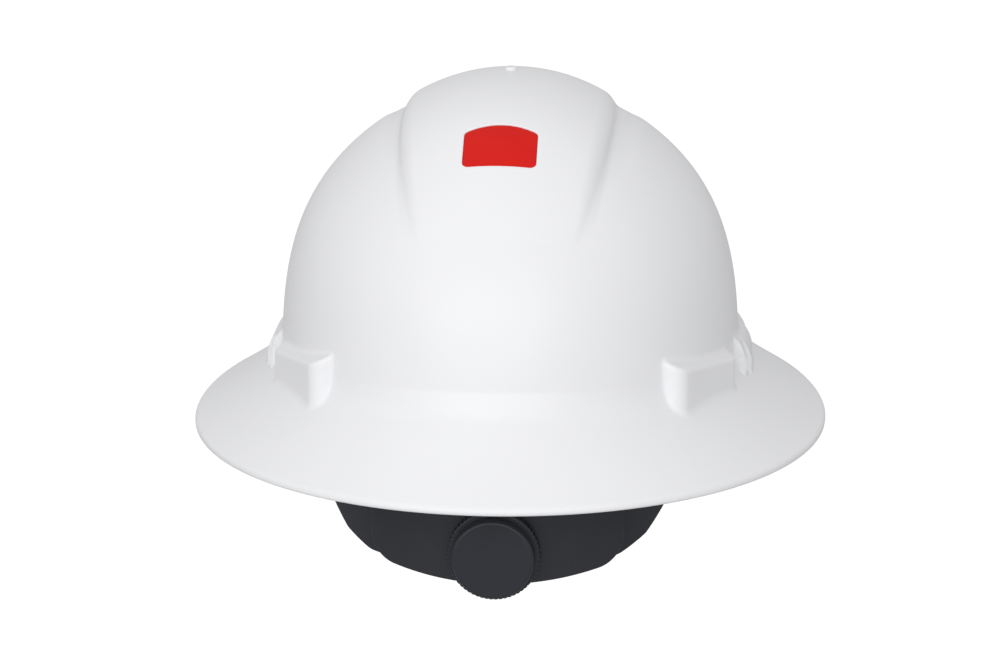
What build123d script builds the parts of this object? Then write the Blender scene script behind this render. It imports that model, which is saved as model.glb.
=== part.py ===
from build123d import *
import os
from math import asin, cos, degrees, pi, radians, sin, sqrt

os.makedirs("parts", exist_ok=True)

# A full brim hard hat, in millimetres. The front faces +Y, the wearer's right is +X and the rim lies on z = 0.
# The nape mechanism and its knob hang below the rim at the back.

# Common clearances
overrun = 1.0
running_clearance = 0.05
seat_clearance = 0.1
part_clearance = 0.3

# Rim and brim
rim_half_width = 141.0
rim_half_length = 160.0
rim_edge_height = 3.0
rim_land = 1.6
rim_round = 0.7
brim_rise = 37.0
brim_inner_half_width = 84.0
brim_inner_half_length = 120.0
brim_dip = 1.0

# Crown dome: ellipses that shrink with height
crown_half_width = 101.3
crown_half_length = 123.0
crown_height = 150.0
crown_height_power = 3.75
crown_width_power = 1.44
crown_height_shares = (0, 0.2, 0.4, 0.55, 0.68, 0.78, 0.86, 0.92)
shell_wall = 2.3

# Centre ridge: an ellipsoid trimmed by a tapering plan outline
ridge_centre_height = 55.0
ridge_half_width = 99.0
ridge_half_length = 115.7
ridge_half_height = 100.0
ridge_plan_half_width = 47.5
ridge_plan_half_length = 136.0
ridge_plan_height = 135.0
ridge_draft_share = 0.14
ridge_edge_radius = 5.0
gate_radius = 2.5
gate_height = 0.6

# Red indicator window at the back of the ridge
window_width = 31.0
window_side_height = 17.0
window_arch_rise = 5.2
window_corner_radius = 2.2
window_centre_height = 133.5
window_centre_reach = 71.0
window_tilt = 56.0
window_recess = 0.5
window_thickness = 0.9
window_reach = 30.0

# Four key bosses on the shell and the pocket behind each
key_side_inset = 13.8
key_end_inset = 61.0
key_turn = 25.7
boss_half_length = 25.0
boss_proud = 4.8
boss_root = 9.0
boss_high_end = 47.0
boss_low_end = 37.0
boss_base_height = 20.0
boss_chamfer = 4.2
boss_corner_radius = 3.0
pocket_offset = 0.2
pocket_thickness = 2.6
pocket_height = 36.0

# Two accessory bosses at the sides, each with a blade slot open from below
side_boss_half_length = 24.0
side_boss_proud = 3.7
side_step_half_length = 15.0
side_step_proud = 6.7
side_boss_height = 37.0
side_boss_drop = 7.0
side_boss_corner_radius = 2.0
side_slot_length = 26.0
side_slot_thickness = 3.4
side_slot_margin = 0.4
side_slot_height = 31.0

# Keys: blade in the pocket, bridge under the shell wall, strap bar and stud plate inside
key_width = 30.0
key_side_clearance = 0.5
blade_thickness = 2.2
bridge_height = 22.2
bridge_thickness = 2.2
key_lead_chamfer = 0.8
strap_bar_inset = 8.2
strap_bar_height = 36.0
strap_bar_radius = 1.6
strap_arm_width = 3.6
strap_arm_depth = 3.8
plate_thickness = 2.2
plate_width = 16.0
plate_low = 7.0
plate_high = 33.0
plate_corner_radius = 3.0
stud_travel = 7.0
stud_height = 20.0
stud_radius = 2.0
stud_slot_clearance = 0.25
stud_notch_clearance = 0.7
stud_head_radius = 3.6
stud_head_thickness = 1.6
stud_head_clearance = 1.0

# Crown straps
webbing_width = 19.0
webbing_thickness = 1.6
strap_arch_base = 20.0
strap_arch_height = 98.0
strap_crossing_step = 2.3
strap_loop_length = 7.5
strap_stations = 8
strap_sewn_stations = 2
loop_tip_radius = 0.2

# Headband: a strip round two half circles, cut by a side outline
band_radius = 84.0
band_centre = 16.0
band_wall = 1.8
band_low = 0.0
band_high = 24.0
band_brow_low = -8.0
band_brow_start = 42.0
band_brow_full = 66.0
band_tab_low = 12.0
band_tab_high = 28.0
band_tab_inner = 40.0
band_tab_outer = 74.0
band_tab_ramp = 6.0
band_corner_radius = 2.5

# Brow pad folded round the bottom edge of the band
brow_half_angle = 50.0
brow_thickness = 4.0
brow_lip_thickness = 1.8
brow_lip_high = 3.0
brow_top = 21.0
brow_fold = 3.4
brow_round = 1.2

# Nape straps: two toothed strips that slide past each other round the nape centre
nape_centre = -16.0
left_strap_radius = 88.0
right_strap_radius = 86.2
strap_thickness = 1.6
strap_rear_high = -19.5
strap_rear_low = -42.0
strap_end_low = -2.6
strap_end_high = 7.6
strap_tail_length = 29.0
strap_shoulder = 9.0
strap_waist = 30.0
strap_waist_high = -0.8
strap_waist_low = -6.0
strap_hip = 46.0
strap_hip_high = -4.0
strap_hip_low = -17.0
strap_drop = 60.0
strap_drop_low = -33.0
strap_flare = 70.0
strap_flare_low = -39.5
strap_bend_radius = 6.0
tbar_radius = 2.8
tbar_head_radius = 3.5
tbar_head_thickness = 1.5
socket_low = -3.0
socket_high = 8.0
socket_clearance = 0.2
socket_wall = 1.5
socket_play = 2.0
socket_mouth_outer = 1.85
socket_mouth_inner = 3.65

# Rack and pinion
knob_height = -32.0
gear_module = 1.0
pinion_teeth = 10
addendum_share = 0.8
dedendum_share = 1.1
rack_root_share = 1.0
tooth_width_share = 1.2
tooth_slope_share = 0.364
rack_teeth = 14
slot_half_length = 24.5
slot_far_clearance = 0.5
pinion_width = 3.7
journal_radius = 2.5
shaft_radius = 3.2
drive_radius = 2.6
drive_sides = 6

# Nape housing, backplate and pad
housing_inner = 89.2
housing_wall = 2.2
housing_half_width = 54.0
housing_high = -14.0
housing_end_low = -28.0
housing_corner_x = 44.0
housing_corner_low = -42.3
housing_middle_low = -46.8
housing_corner_bow_x = 51.2
housing_corner_bow_low = -37.6
housing_top_radius = 6.0
rim_half_span = 26.0
rim_top_thickness = 4.0
rim_bottom_high = -43.0
flange_radius = 14.5
flange_face = 107.7
housing_edge_radius = 0.7
backplate_inner = 82.6
backplate_wall = 2.2
backplate_margin = 2.0
housing_screw_x = 14.0
housing_screw_high = -16.0
housing_screw_low = -44.6
housing_screw_radius = 0.9
housing_screw_head_radius = 1.7
housing_screw_head_thickness = 1.0
housing_screw_length = 6.5
pad_inner = 77.8
pad_margin = 5.0

# Knob, cap, screw and detent
knob_start = 108.0
knob_radius = 19.6
knob_depth = 5.4
knob_edge_radius = 0.8
knob_grip_count = 60
knob_grip_radius = 0.45
knob_cavity_radius = 14.0
knob_cavity_depth = 3.4
detent_count = 24
detent_depth = 1.0
cap_radius = 17.3
cap_depth = 5.8
cap_wall = 1.6
cap_edge_radius = 1.3
cap_seat_height = 2.6
screw_radius = 1.2
screw_head_radius = 2.5
screw_head_thickness = 1.6
screw_length = 8.0
spring_radius = 9.6
spring_thickness = 1.0
spring_width = 1.9
spring_half_angle = 62.0
spring_end_reach = 1.0

# Places worked out from the sizes above
key_x = crown_half_width - key_side_inset
key_y = crown_half_length - key_end_inset
side_boss_reach = crown_half_width + side_boss_proud
side_step_reach = crown_half_width + side_step_proud
normal_x = cos(radians(key_turn))
normal_y = sin(radians(key_turn))
key_face = Plane(origin=(key_x, key_y, 0), x_dir=(-normal_y, normal_x, 0), z_dir=(normal_x, normal_y, 0))
key_section = Plane(origin=(key_x, key_y, 0), x_dir=(normal_x, normal_y, 0), z_dir=(normal_y, -normal_x, 0))
ridge_top = ridge_centre_height + ridge_half_height


# Shell
def brim_slope(outer_half_width, outer_half_length, low):
    """Solid below one skin of the sloping brim, lofted through three ellipses."""
    high = low + brim_rise
    middle_half_width = (outer_half_width + brim_inner_half_width) / 2 - brim_dip
    middle_half_length = (outer_half_length + brim_inner_half_length) / 2 - brim_dip
    with BuildPart() as slope:
        with BuildSketch(Plane.XY.offset(low)):
            Ellipse(outer_half_width, outer_half_length)
        with BuildSketch(Plane.XY.offset((low + high) / 2)):
            Ellipse(middle_half_width, middle_half_length)
        with BuildSketch(Plane.XY.offset(high)):
            Ellipse(brim_inner_half_width, brim_inner_half_length)
        loft()
    return slope.part


def crown_dome(inset):
    """Dome of the crown up to where the ridge hides it, drawn in from the outer skin by an inset."""
    with BuildPart() as dome:
        for height_share in crown_height_shares:
            width_share = (1 - height_share**crown_height_power) ** (1 / crown_width_power)
            with BuildSketch(Plane.XY.offset((crown_height - inset) * height_share)):
                Ellipse((crown_half_width - inset) * width_share, (crown_half_length - inset) * width_share)
        loft()
    return dome.part


def ridge_cap(inset):
    """Ellipsoid cap that carries the ridge's top skin, drawn in from it by an inset."""
    half_width = ridge_half_width - inset
    half_height = ridge_half_height - inset
    with BuildPart() as cap:
        with BuildSketch(Plane.XZ):
            with BuildLine():
                arc_centre = (0, ridge_centre_height)
                EllipticalCenterArc(arc_centre, half_width, half_height, start_angle=0, arc_size=90)
                Line((0, ridge_centre_height + half_height), arc_centre)
                Line(arc_centre, (half_width, ridge_centre_height))
            make_face()
        revolve(axis=Axis.Z)
        scale(by=(1, (ridge_half_length - inset) / half_width, 1))
    return cap.part


def crown_ridge(inset):
    """Raised centre ridge, drawn in from the outer skin by an inset."""
    plan_spread = (ridge_plan_height - ridge_centre_height) * ridge_draft_share
    top_draw = (ridge_top + overrun - ridge_plan_height) * ridge_draft_share
    with BuildPart() as ridge:
        add(ridge_cap(inset))
        with BuildSketch(Plane.XY.offset(ridge_centre_height)):
            Ellipse(
                ridge_plan_half_width + plan_spread - inset,
                ridge_plan_half_length + plan_spread - inset,
            )
        with BuildSketch(Plane.XY.offset(ridge_top + overrun)):
            Ellipse(ridge_plan_half_width - top_draw - inset, ridge_plan_half_length - top_draw - inset)
        loft(mode=Mode.INTERSECT)
        long_edges = ridge.edges().filter_by(lambda edge: edge.center().Z > ridge_centre_height + overrun)
        fillet(long_edges, radius=ridge_edge_radius)
    return ridge.part


window_plane = Plane(
    origin=(0, -window_centre_reach, window_centre_height),
    x_dir=(1, 0, 0),
    z_dir=(0, -sin(radians(90 - window_tilt)), cos(radians(90 - window_tilt))),
)


def window_outline(margin):
    """Arched outline of the indicator window, grown by a margin."""
    half_width = window_width / 2 + margin
    low = -window_side_height / 2 - margin
    shoulder = window_side_height / 2 + margin
    with BuildSketch(window_plane) as outline:
        with BuildLine():
            Polyline((-half_width, shoulder), (-half_width, low), (half_width, low), (half_width, shoulder))
            ThreePointArc((half_width, shoulder), (0, shoulder + window_arch_rise), (-half_width, shoulder))
        make_face()
        fillet(outline.vertices(), radius=window_corner_radius + margin)
    return outline.sketch


def draw(plane, *points):
    """A closed straight-sided outline on a plane."""
    with BuildSketch(plane) as outline:
        with BuildLine():
            Polyline(*points, close=True)
        make_face()
    return outline.sketch


# Key bosses: the sloping top is higher towards the hat's middle line
with BuildPart() as key_bosses:
    outline = draw(
        key_face.offset(-boss_root),
        (-boss_half_length, boss_base_height),
        (boss_half_length, boss_base_height),
        (boss_half_length, boss_high_end),
        (-boss_half_length, boss_low_end),
    )
    extrude(outline, amount=boss_root + boss_proud)
    outward = Axis(key_face.origin, key_face.z_dir)
    chamfer(key_bosses.faces().sort_by(outward)[-1].edges().sort_by(Axis.Z)[-1], length=boss_chamfer)
    bevel_length = key_bosses.faces().sort_by(outward)[-1].edges().sort_by(Axis.Z)[-1].length
    corner_edges = key_bosses.edges().filter_by(lambda edge: edge.length < bevel_length - overrun)
    fillet(corner_edges.sort_by(outward)[-4:], radius=boss_corner_radius)
    mirror(about=Plane.YZ)
    mirror(about=Plane.XZ)

with BuildPart() as key_pockets:
    outline = draw(
        key_face.offset(pocket_offset),
        (-key_width / 2 - key_side_clearance, 0),
        (key_width / 2 + key_side_clearance, 0),
        (key_width / 2 + key_side_clearance, pocket_height),
        (-key_width / 2 - key_side_clearance, pocket_height),
    )
    extrude(outline, amount=pocket_thickness)
    mirror(about=Plane.YZ)
    mirror(about=Plane.XZ)

# Accessory bosses: a long block with a stepped middle, both bevelled on top
with BuildPart() as side_bosses:
    side_blocks = ((side_boss_half_length, side_boss_reach), (side_step_half_length, side_step_reach))
    for half_length, reach in side_blocks:
        bevel_low = side_boss_height - side_boss_drop * (reach - crown_half_width) / side_step_proud
        outline = draw(
            Plane.XZ.offset(-half_length),
            (crown_half_width - boss_root, boss_base_height),
            (reach, boss_base_height),
            (reach, bevel_low),
            (crown_half_width, side_boss_height),
            (crown_half_width - boss_root, side_boss_height),
        )
        extrude(outline, amount=2 * half_length)
    outer_corners = side_bosses.edges().filter_by(Axis.Z)
    outer_corners = outer_corners.filter_by(lambda edge: edge.center().X > crown_half_width)
    outer_corners = outer_corners.filter_by(lambda edge: abs(edge.center().Y) > side_step_half_length - overrun)
    outer_corners = outer_corners.group_by(Axis.X)[-1]
    fillet(outer_corners, radius=side_boss_corner_radius)
    mirror(about=Plane.YZ)

with BuildPart() as side_slots:
    outline = draw(
        Plane.YZ.offset(crown_half_width + side_slot_margin),
        (-side_slot_length / 2, 0),
        (side_slot_length / 2, 0),
        (side_slot_length / 2, side_slot_height),
        (-side_slot_length / 2, side_slot_height),
    )
    extrude(outline, amount=side_slot_thickness)
    mirror(about=Plane.YZ)

outer_slope = brim_slope(rim_half_width, rim_half_length, rim_edge_height)
inner_slope = brim_slope(rim_half_width - rim_land, rim_half_length - rim_land, 0)
outer_dome = crown_dome(0)
inner_dome = crown_dome(shell_wall)
outer_ridge = crown_ridge(0)
inner_ridge = crown_ridge(shell_wall)
window_floor_core = ridge_cap(window_recess + window_thickness + running_clearance)
window_back_core = ridge_cap(window_recess + window_thickness)
window_front_core = ridge_cap(window_recess)

with BuildPart() as window_pocket:
    extrude(window_outline(running_clearance), amount=window_reach, both=True)
    add(window_floor_core, mode=Mode.SUBTRACT)

with BuildPart() as shell:
    with BuildSketch():
        Ellipse(rim_half_width, rim_half_length)
    extrude(amount=rim_edge_height)
    add(outer_slope)
    add(outer_dome)
    fillet(shell.edges().filter_by(lambda edge: edge.center().Z < rim_edge_height + overrun), radius=rim_round)
    add(outer_ridge)
    add(key_bosses.part)
    add(side_bosses.part)
    add(inner_slope, mode=Mode.SUBTRACT)
    add(inner_dome, mode=Mode.SUBTRACT)
    add(inner_ridge, mode=Mode.SUBTRACT)
    add(key_pockets.part, mode=Mode.SUBTRACT)
    add(side_slots.part, mode=Mode.SUBTRACT)
    add(window_pocket.part, mode=Mode.SUBTRACT)
    with BuildSketch(Plane.XY.offset(ridge_top - shell_wall / 2)):
        Circle(gate_radius)
    extrude(amount=shell_wall / 2 + gate_height)
shell.part.label = "shell"
export_step(shell.part, "parts/shell.step")

with BuildPart() as uv_indicator:
    extrude(window_outline(0), amount=window_reach, both=True)
    add(window_front_core, mode=Mode.INTERSECT)
    add(window_back_core, mode=Mode.SUBTRACT)
uv_indicator.part.label = "uv_indicator"
export_step(uv_indicator.part, "parts/uv_indicator.step")

# Keys: one is modelled at the front right and mirrored to the other three corners
bridge_top = bridge_height + bridge_thickness
blade_outer = pocket_offset + (pocket_thickness + blade_thickness) / 2
blade_inner = blade_outer - blade_thickness
blade_top = pocket_height - key_side_clearance
key_centre_reach = sqrt(key_x**2 + (key_y - band_centre) ** 2)
band_gap = key_centre_reach - band_radius
plate_outer = -band_gap + part_clearance + plate_thickness + seat_clearance
plate_inner = plate_outer - plate_thickness
stud_stations = (stud_height - stud_travel, stud_height, stud_height + stud_travel)
head_inner = plate_outer + seat_clearance
head_outer = head_inner + stud_head_thickness

with BuildPart() as key_front_right:
    blade = draw(
        key_section,
        (blade_inner, bridge_height),
        (blade_outer, bridge_height),
        (blade_outer, blade_top),
        (blade_inner, blade_top),
    )
    extrude(blade, amount=key_width / 2, both=True)
    chamfer(key_front_right.faces().sort_by(Axis.Z)[-1].edges(), length=key_lead_chamfer)
    bridge = draw(
        key_section,
        (plate_inner, bridge_height),
        (blade_inner + overrun, bridge_height),
        (blade_inner + overrun, bridge_top),
        (plate_inner, bridge_top),
    )
    extrude(bridge, amount=key_width / 2, both=True)
    with BuildSketch(key_face.offset(plate_inner)):
        with Locations((0, (plate_low + plate_high) / 2)):
            RectangleRounded(plate_width, plate_high - plate_low, plate_corner_radius)
    extrude(amount=plate_thickness)
    arm_outer = -strap_bar_inset + strap_arm_depth / 2
    arms = draw(
        key_section,
        (arm_outer - strap_arm_depth, bridge_top),
        (arm_outer, bridge_top),
        (arm_outer, strap_bar_height + strap_arm_depth / 2),
        (arm_outer - strap_arm_depth, strap_bar_height + strap_arm_depth / 2),
    )
    extrude(arms, amount=key_width / 2, both=True)
    gap = draw(
        key_section,
        (arm_outer - strap_arm_depth - overrun, bridge_top),
        (arm_outer + overrun, bridge_top),
        (arm_outer + overrun, strap_bar_height + strap_arm_depth),
        (arm_outer - strap_arm_depth - overrun, strap_bar_height + strap_arm_depth),
    )
    extrude(gap, amount=key_width / 2 - strap_arm_width, both=True, mode=Mode.SUBTRACT)
    with BuildSketch(key_section):
        with Locations((-strap_bar_inset, strap_bar_height)):
            Circle(strap_bar_radius)
    extrude(amount=key_width / 2 - strap_arm_width / 2, both=True)
    with BuildSketch(key_face.offset(plate_inner - overrun)):
        with Locations((0, stud_height)):
            Rectangle(2 * (stud_radius + stud_slot_clearance), 2 * stud_travel)
        with Locations(*[(0, station) for station in stud_stations]):
            Circle(stud_radius + stud_notch_clearance)
    extrude(amount=plate_thickness + 2 * overrun, mode=Mode.SUBTRACT)
    with BuildSketch(key_face.offset(plate_outer)):
        with Locations((0, stud_height)):
            head_room = 2 * (stud_head_radius + stud_head_clearance)
            Rectangle(head_room, head_room + 2 * stud_travel)
    extrude(amount=stud_head_thickness + stud_head_clearance, mode=Mode.SUBTRACT)

with BuildPart() as key_front_left:
    mirror(key_front_right.part, about=Plane.YZ)

with BuildPart() as key_rear_right:
    mirror(key_front_right.part, about=Plane.XZ)

with BuildPart() as key_rear_left:
    mirror(key_front_left.part, about=Plane.XZ)

for name, key in (
    ("key_front_right", key_front_right),
    ("key_front_left", key_front_left),
    ("key_rear_right", key_rear_right),
    ("key_rear_left", key_rear_left),
):
    key.part.label = name
    export_step(key.part, f"parts/{name}.step")


# Crown straps: webbing looped round the bars of two opposite keys
bar_x = key_x - strap_bar_inset * normal_x
bar_y = key_y - strap_bar_inset * normal_y
bar_reach = sqrt(bar_x**2 + bar_y**2)
diagonal_turn = degrees(asin(bar_y / bar_reach))
loop_inner_radius = strap_bar_radius + part_clearance
loop_outer_radius = loop_inner_radius + webbing_thickness


def crown_strap(arch_height):
    """One strap, from the front right key over the head to the rear left key."""
    bar_rise_share = (strap_bar_height - strap_arch_base) / arch_height
    arch_reach = bar_reach / sqrt(1 - bar_rise_share**2)
    first_turn = asin((strap_bar_height + strap_loop_length - strap_arch_base) / arch_height)
    tip_inset = bar_reach - arch_reach * cos(first_turn)
    tip = (-strap_bar_inset - tip_inset, strap_bar_height + strap_loop_length)
    with BuildSketch(key_section) as loop_hole:
        with Locations((-strap_bar_inset, strap_bar_height)):
            Circle(loop_inner_radius)
        with Locations(tip):
            Circle(loop_tip_radius)
        make_hull()
    with BuildPart() as half:
        for step in range(strap_stations + 1):
            arch_turn = first_turn + (pi / 2 - first_turn) * step / strap_stations
            width_turn = radians(key_turn + (diagonal_turn - key_turn) * step / strap_stations)
            run = Vector(
                -arch_reach * sin(arch_turn) * cos(radians(diagonal_turn)),
                -arch_reach * sin(arch_turn) * sin(radians(diagonal_turn)),
                arch_height * cos(arch_turn),
            ).normalized()
            across = Vector(-sin(width_turn), cos(width_turn), 0)
            place = (
                arch_reach * cos(arch_turn) * cos(radians(diagonal_turn)),
                arch_reach * cos(arch_turn) * sin(radians(diagonal_turn)),
                strap_arch_base + arch_height * sin(arch_turn),
            )
            plies = 2 if step < strap_sewn_stations else 1
            with BuildSketch(Plane(origin=place, x_dir=across - run * across.dot(run), z_dir=run)):
                Rectangle(webbing_width, plies * webbing_thickness)
        loft()
        with BuildSketch(key_section):
            with Locations((-strap_bar_inset, strap_bar_height)):
                Circle(loop_outer_radius)
            with Locations(tip):
                Circle(webbing_thickness)
            make_hull()
            add(loop_hole.sketch_local, mode=Mode.SUBTRACT)
        extrude(amount=webbing_width / 2, both=True)
        add(half.part.rotate(Axis.Z, 180))
    return half.part


lower_strap = crown_strap(strap_arch_height)
upper_strap = crown_strap(strap_arch_height + strap_crossing_step)

with BuildPart() as crown_strap_lower:
    add(lower_strap)
crown_strap_lower.part.label = "crown_strap_lower"
export_step(crown_strap_lower.part, "parts/crown_strap_lower.step")

with BuildPart() as crown_strap_upper:
    mirror(upper_strap, about=Plane.YZ)
crown_strap_upper.part.label = "crown_strap_upper"
export_step(crown_strap_upper.part, "parts/crown_strap_upper.step")


# Headband: a strip round two half circles, with four height studs and a socket on each side
with BuildPart() as band_strip:
    with BuildSketch(Plane.XY.offset(band_brow_low)):
        SlotCenterToCenter(2 * band_centre, 2 * band_radius, rotation=90)
        SlotCenterToCenter(2 * band_centre, 2 * (band_radius - band_wall), rotation=90, mode=Mode.SUBTRACT)
    extrude(amount=band_tab_high - band_brow_low)

with BuildPart() as studs:
    with BuildSketch(key_face.offset(-band_gap - band_wall / 2)):
        with Locations((0, stud_height)):
            Circle(stud_radius)
    extrude(amount=head_outer + band_gap + band_wall / 2)
    with BuildSketch(key_face.offset(head_inner)):
        with Locations((0, stud_height)):
            Circle(stud_head_radius)
    extrude(amount=stud_head_thickness)
    chamfer(studs.faces().sort_by(outward)[-1].edges(), length=stud_head_thickness / 3)
    mirror(about=Plane.YZ)
    mirror(about=Plane.XZ)

socket_bore = tbar_radius + socket_clearance
socket_outer = socket_bore + socket_wall
band_end = nape_centre + tbar_head_radius + part_clearance


def band_socket(side, bar_x):
    """Socket that holds a strap's end bar, open backwards, with play towards the head."""
    inner_x = bar_x - side * socket_play
    with BuildPart() as socket:
        with BuildSketch(Plane.XY.offset(socket_low)):
            with Locations((bar_x, nape_centre), (inner_x, nape_centre)):
                Circle(socket_outer)
            make_hull()
            with Locations((bar_x, nape_centre), (inner_x, nape_centre)):
                Circle(socket_bore, mode=Mode.SUBTRACT)
            with Locations(((bar_x + inner_x) / 2, nape_centre)):
                Rectangle(socket_play, 2 * socket_bore, mode=Mode.SUBTRACT)
            mouth_x = bar_x + side * (socket_mouth_outer - socket_mouth_inner) / 2
            with Locations((mouth_x, nape_centre - socket_outer)):
                Rectangle(socket_mouth_outer + socket_mouth_inner, 2 * socket_outer, mode=Mode.SUBTRACT)
        extrude(amount=socket_high - socket_low)
    return socket.part


left_socket = band_socket(-1, -left_strap_radius)
right_socket = band_socket(1, right_strap_radius)

with BuildPart() as headband:
    side_outline = draw(
        Plane.YZ.offset(-band_radius - overrun),
        (-band_tab_outer, band_tab_low),
        (band_end, band_tab_low),
        (band_end, band_low),
        (band_brow_start, band_low),
        (band_brow_full, band_brow_low),
        (band_centre + band_radius + overrun, band_brow_low),
        (band_centre + band_radius + overrun, band_high),
        (band_tab_outer + band_tab_ramp, band_high),
        (band_tab_outer, band_tab_high),
        (band_tab_inner, band_tab_high),
        (band_tab_inner - band_tab_ramp, band_high),
        (-band_tab_inner + band_tab_ramp, band_high),
        (-band_tab_inner, band_tab_high),
        (-band_tab_outer, band_tab_high),
    )
    extrude(side_outline, amount=2 * (band_radius + overrun))
    fillet(headband.edges().filter_by(Axis.X), radius=band_corner_radius)
    add(band_strip.part, mode=Mode.INTERSECT)
    add(studs.part)
    add(left_socket)
    add(right_socket)
headband.part.label = "headband"
export_step(headband.part, "parts/headband.step")

# Brow pad: a soft strip inside the band that folds round its bottom edge
band_inner_radius = band_radius - band_wall
brow_inner_radius = band_inner_radius - part_clearance - brow_thickness
brow_outer_radius = band_radius + part_clearance + brow_lip_thickness

with BuildPart() as brow_pad:
    with BuildSketch(Plane.YZ):
        with BuildLine():
            Polyline(
                (band_centre + brow_inner_radius, band_brow_low - part_clearance - brow_fold),
                (band_centre + brow_outer_radius, band_brow_low - part_clearance - brow_fold),
                (band_centre + brow_outer_radius, brow_lip_high),
                (band_centre + band_radius + part_clearance, brow_lip_high),
                (band_centre + band_radius + part_clearance, band_brow_low - part_clearance),
                (band_centre + band_inner_radius - part_clearance, band_brow_low - part_clearance),
                (band_centre + band_inner_radius - part_clearance, brow_top),
                (band_centre + brow_inner_radius, brow_top),
                close=True,
            )
        make_face()
    brow_axis = Axis((0, band_centre, 0), (0, 0, 1))
    revolve(axis=brow_axis, revolution_arc=brow_half_angle)
    mirror(about=Plane.YZ)
    low_edges = brow_pad.edges().group_by(Axis.Z)[0].filter_by(GeomType.CIRCLE)
    fillet(low_edges, radius=brow_round)
brow_pad.part.label = "brow_pad"
export_step(brow_pad.part, "parts/brow_pad.step")

# Nape straps
pitch_radius = gear_module * pinion_teeth / 2
tooth_pitch = pi * gear_module
tip_radius = pitch_radius + addendum_share * gear_module
root_radius = pitch_radius - dedendum_share * gear_module
pitch_half_width = tooth_width_share * gear_module / 2


def nape_sector(inner_radius, outer_radius, start_angle, end_angle):
    """Flat sector of a ring round the nape centre."""
    with BuildLine() as rim_lines:
        outer_arc = CenterArc((0, nape_centre), outer_radius, start_angle, end_angle - start_angle)
        inner_arc = CenterArc((0, nape_centre), inner_radius, start_angle, end_angle - start_angle)
        Line(outer_arc @ 0, inner_arc @ 0)
        Line(outer_arc @ 1, inner_arc @ 1)
    return make_face(rim_lines.line, mode=Mode.PRIVATE)


def nape_strap(side, radius, tooth_side):
    """Toothed strap that starts at one side and runs round the nape past the pinion."""
    inner_radius = radius - strap_thickness / 2
    outer_radius = radius + strap_thickness / 2
    tail = degrees(strap_tail_length / radius)
    reach = degrees(slot_half_length / radius)
    start_angle = 180 if side < 0 else -90 - tail
    end_angle = 270 + tail if side < 0 else 0
    root_offset = pitch_radius + rack_root_share * gear_module
    tip_offset = pitch_radius - addendum_share * gear_module
    far_offset = tip_radius + slot_far_clearance
    root_half_width = pitch_half_width + rack_root_share * gear_module * tooth_slope_share
    tip_half_width = pitch_half_width - addendum_share * gear_module * tooth_slope_share
    slot_low = knob_height - (far_offset if tooth_side > 0 else root_offset)
    slot_height = far_offset + root_offset
    with BuildPart() as strap:
        side_outline = draw(
            Plane.YZ.offset(-outer_radius - overrun),
            (nape_centre + tbar_radius, strap_end_low),
            (nape_centre + tbar_radius, strap_end_high),
            (nape_centre - strap_shoulder, strap_end_high),
            (nape_centre - strap_waist, strap_waist_high),
            (nape_centre - strap_hip, strap_hip_high),
            (nape_centre - strap_flare, strap_rear_high),
            (nape_centre - outer_radius - overrun, strap_rear_high),
            (nape_centre - outer_radius - overrun, strap_rear_low),
            (nape_centre - strap_flare, strap_flare_low),
            (nape_centre - strap_drop, strap_drop_low),
            (nape_centre - strap_hip, strap_hip_low),
            (nape_centre - strap_waist, strap_waist_low),
            (nape_centre - strap_shoulder, strap_end_low),
        )
        extrude(side_outline, amount=2 * (outer_radius + overrun))
        bend_edges = strap.edges().filter_by(Axis.X)
        bend_edges = bend_edges.filter_by(lambda edge: abs(edge.center().Y - nape_centre) > tbar_radius + overrun)
        bend_edges = bend_edges.filter_by(lambda edge: edge.center().Y > nape_centre - outer_radius)
        fillet(bend_edges, radius=strap_bend_radius)
        with BuildSketch(Plane.XY.offset(strap_rear_low - overrun)):
            add(nape_sector(inner_radius, outer_radius, start_angle, end_angle))
        extrude(amount=strap_end_high - strap_rear_low + 2 * overrun, mode=Mode.INTERSECT)
        with BuildSketch(Plane.XY.offset(slot_low)):
            add(nape_sector(inner_radius - overrun, outer_radius + overrun, 270 - reach, 270 + reach))
        extrude(amount=slot_height, mode=Mode.SUBTRACT)
        for tooth in range(rack_teeth):
            turn = (tooth + 0.5 - rack_teeth / 2) * tooth_pitch / radius
            place = (inner_radius * sin(turn), nape_centre - inner_radius * cos(turn), knob_height)
            tooth_plane = Plane(origin=place, x_dir=(cos(turn), sin(turn), 0), z_dir=(sin(turn), -cos(turn), 0))
            tooth_outline = draw(
                tooth_plane,
                (-root_half_width, tooth_side * (root_offset + seat_clearance)),
                (-root_half_width, tooth_side * root_offset),
                (-tip_half_width, tooth_side * tip_offset),
                (tip_half_width, tooth_side * tip_offset),
                (root_half_width, tooth_side * root_offset),
                (root_half_width, tooth_side * (root_offset + seat_clearance)),
            )
            extrude(tooth_outline, amount=strap_thickness)
        bar_base = socket_low - part_clearance
        with BuildSketch(Plane.XY.offset(bar_base)):
            with Locations((side * radius, nape_centre)):
                Circle(tbar_radius)
        extrude(amount=socket_high - socket_low + 2 * part_clearance)
        head_planes = [Plane.XY.offset(low) for low in (bar_base - tbar_head_thickness, socket_high + part_clearance)]
        with BuildSketch(*head_planes):
            with Locations((side * radius, nape_centre)):
                Circle(tbar_head_radius)
        extrude(amount=tbar_head_thickness)
    return strap.part


with BuildPart() as nape_strap_left:
    add(nape_strap(-1, left_strap_radius, 1))
nape_strap_left.part.label = "nape_strap_left"
export_step(nape_strap_left.part, "parts/nape_strap_left.step")

with BuildPart() as nape_strap_right:
    add(nape_strap(1, right_strap_radius, -1))
nape_strap_right.part.label = "nape_strap_right"
export_step(nape_strap_right.part, "parts/nape_strap_right.step")


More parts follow.
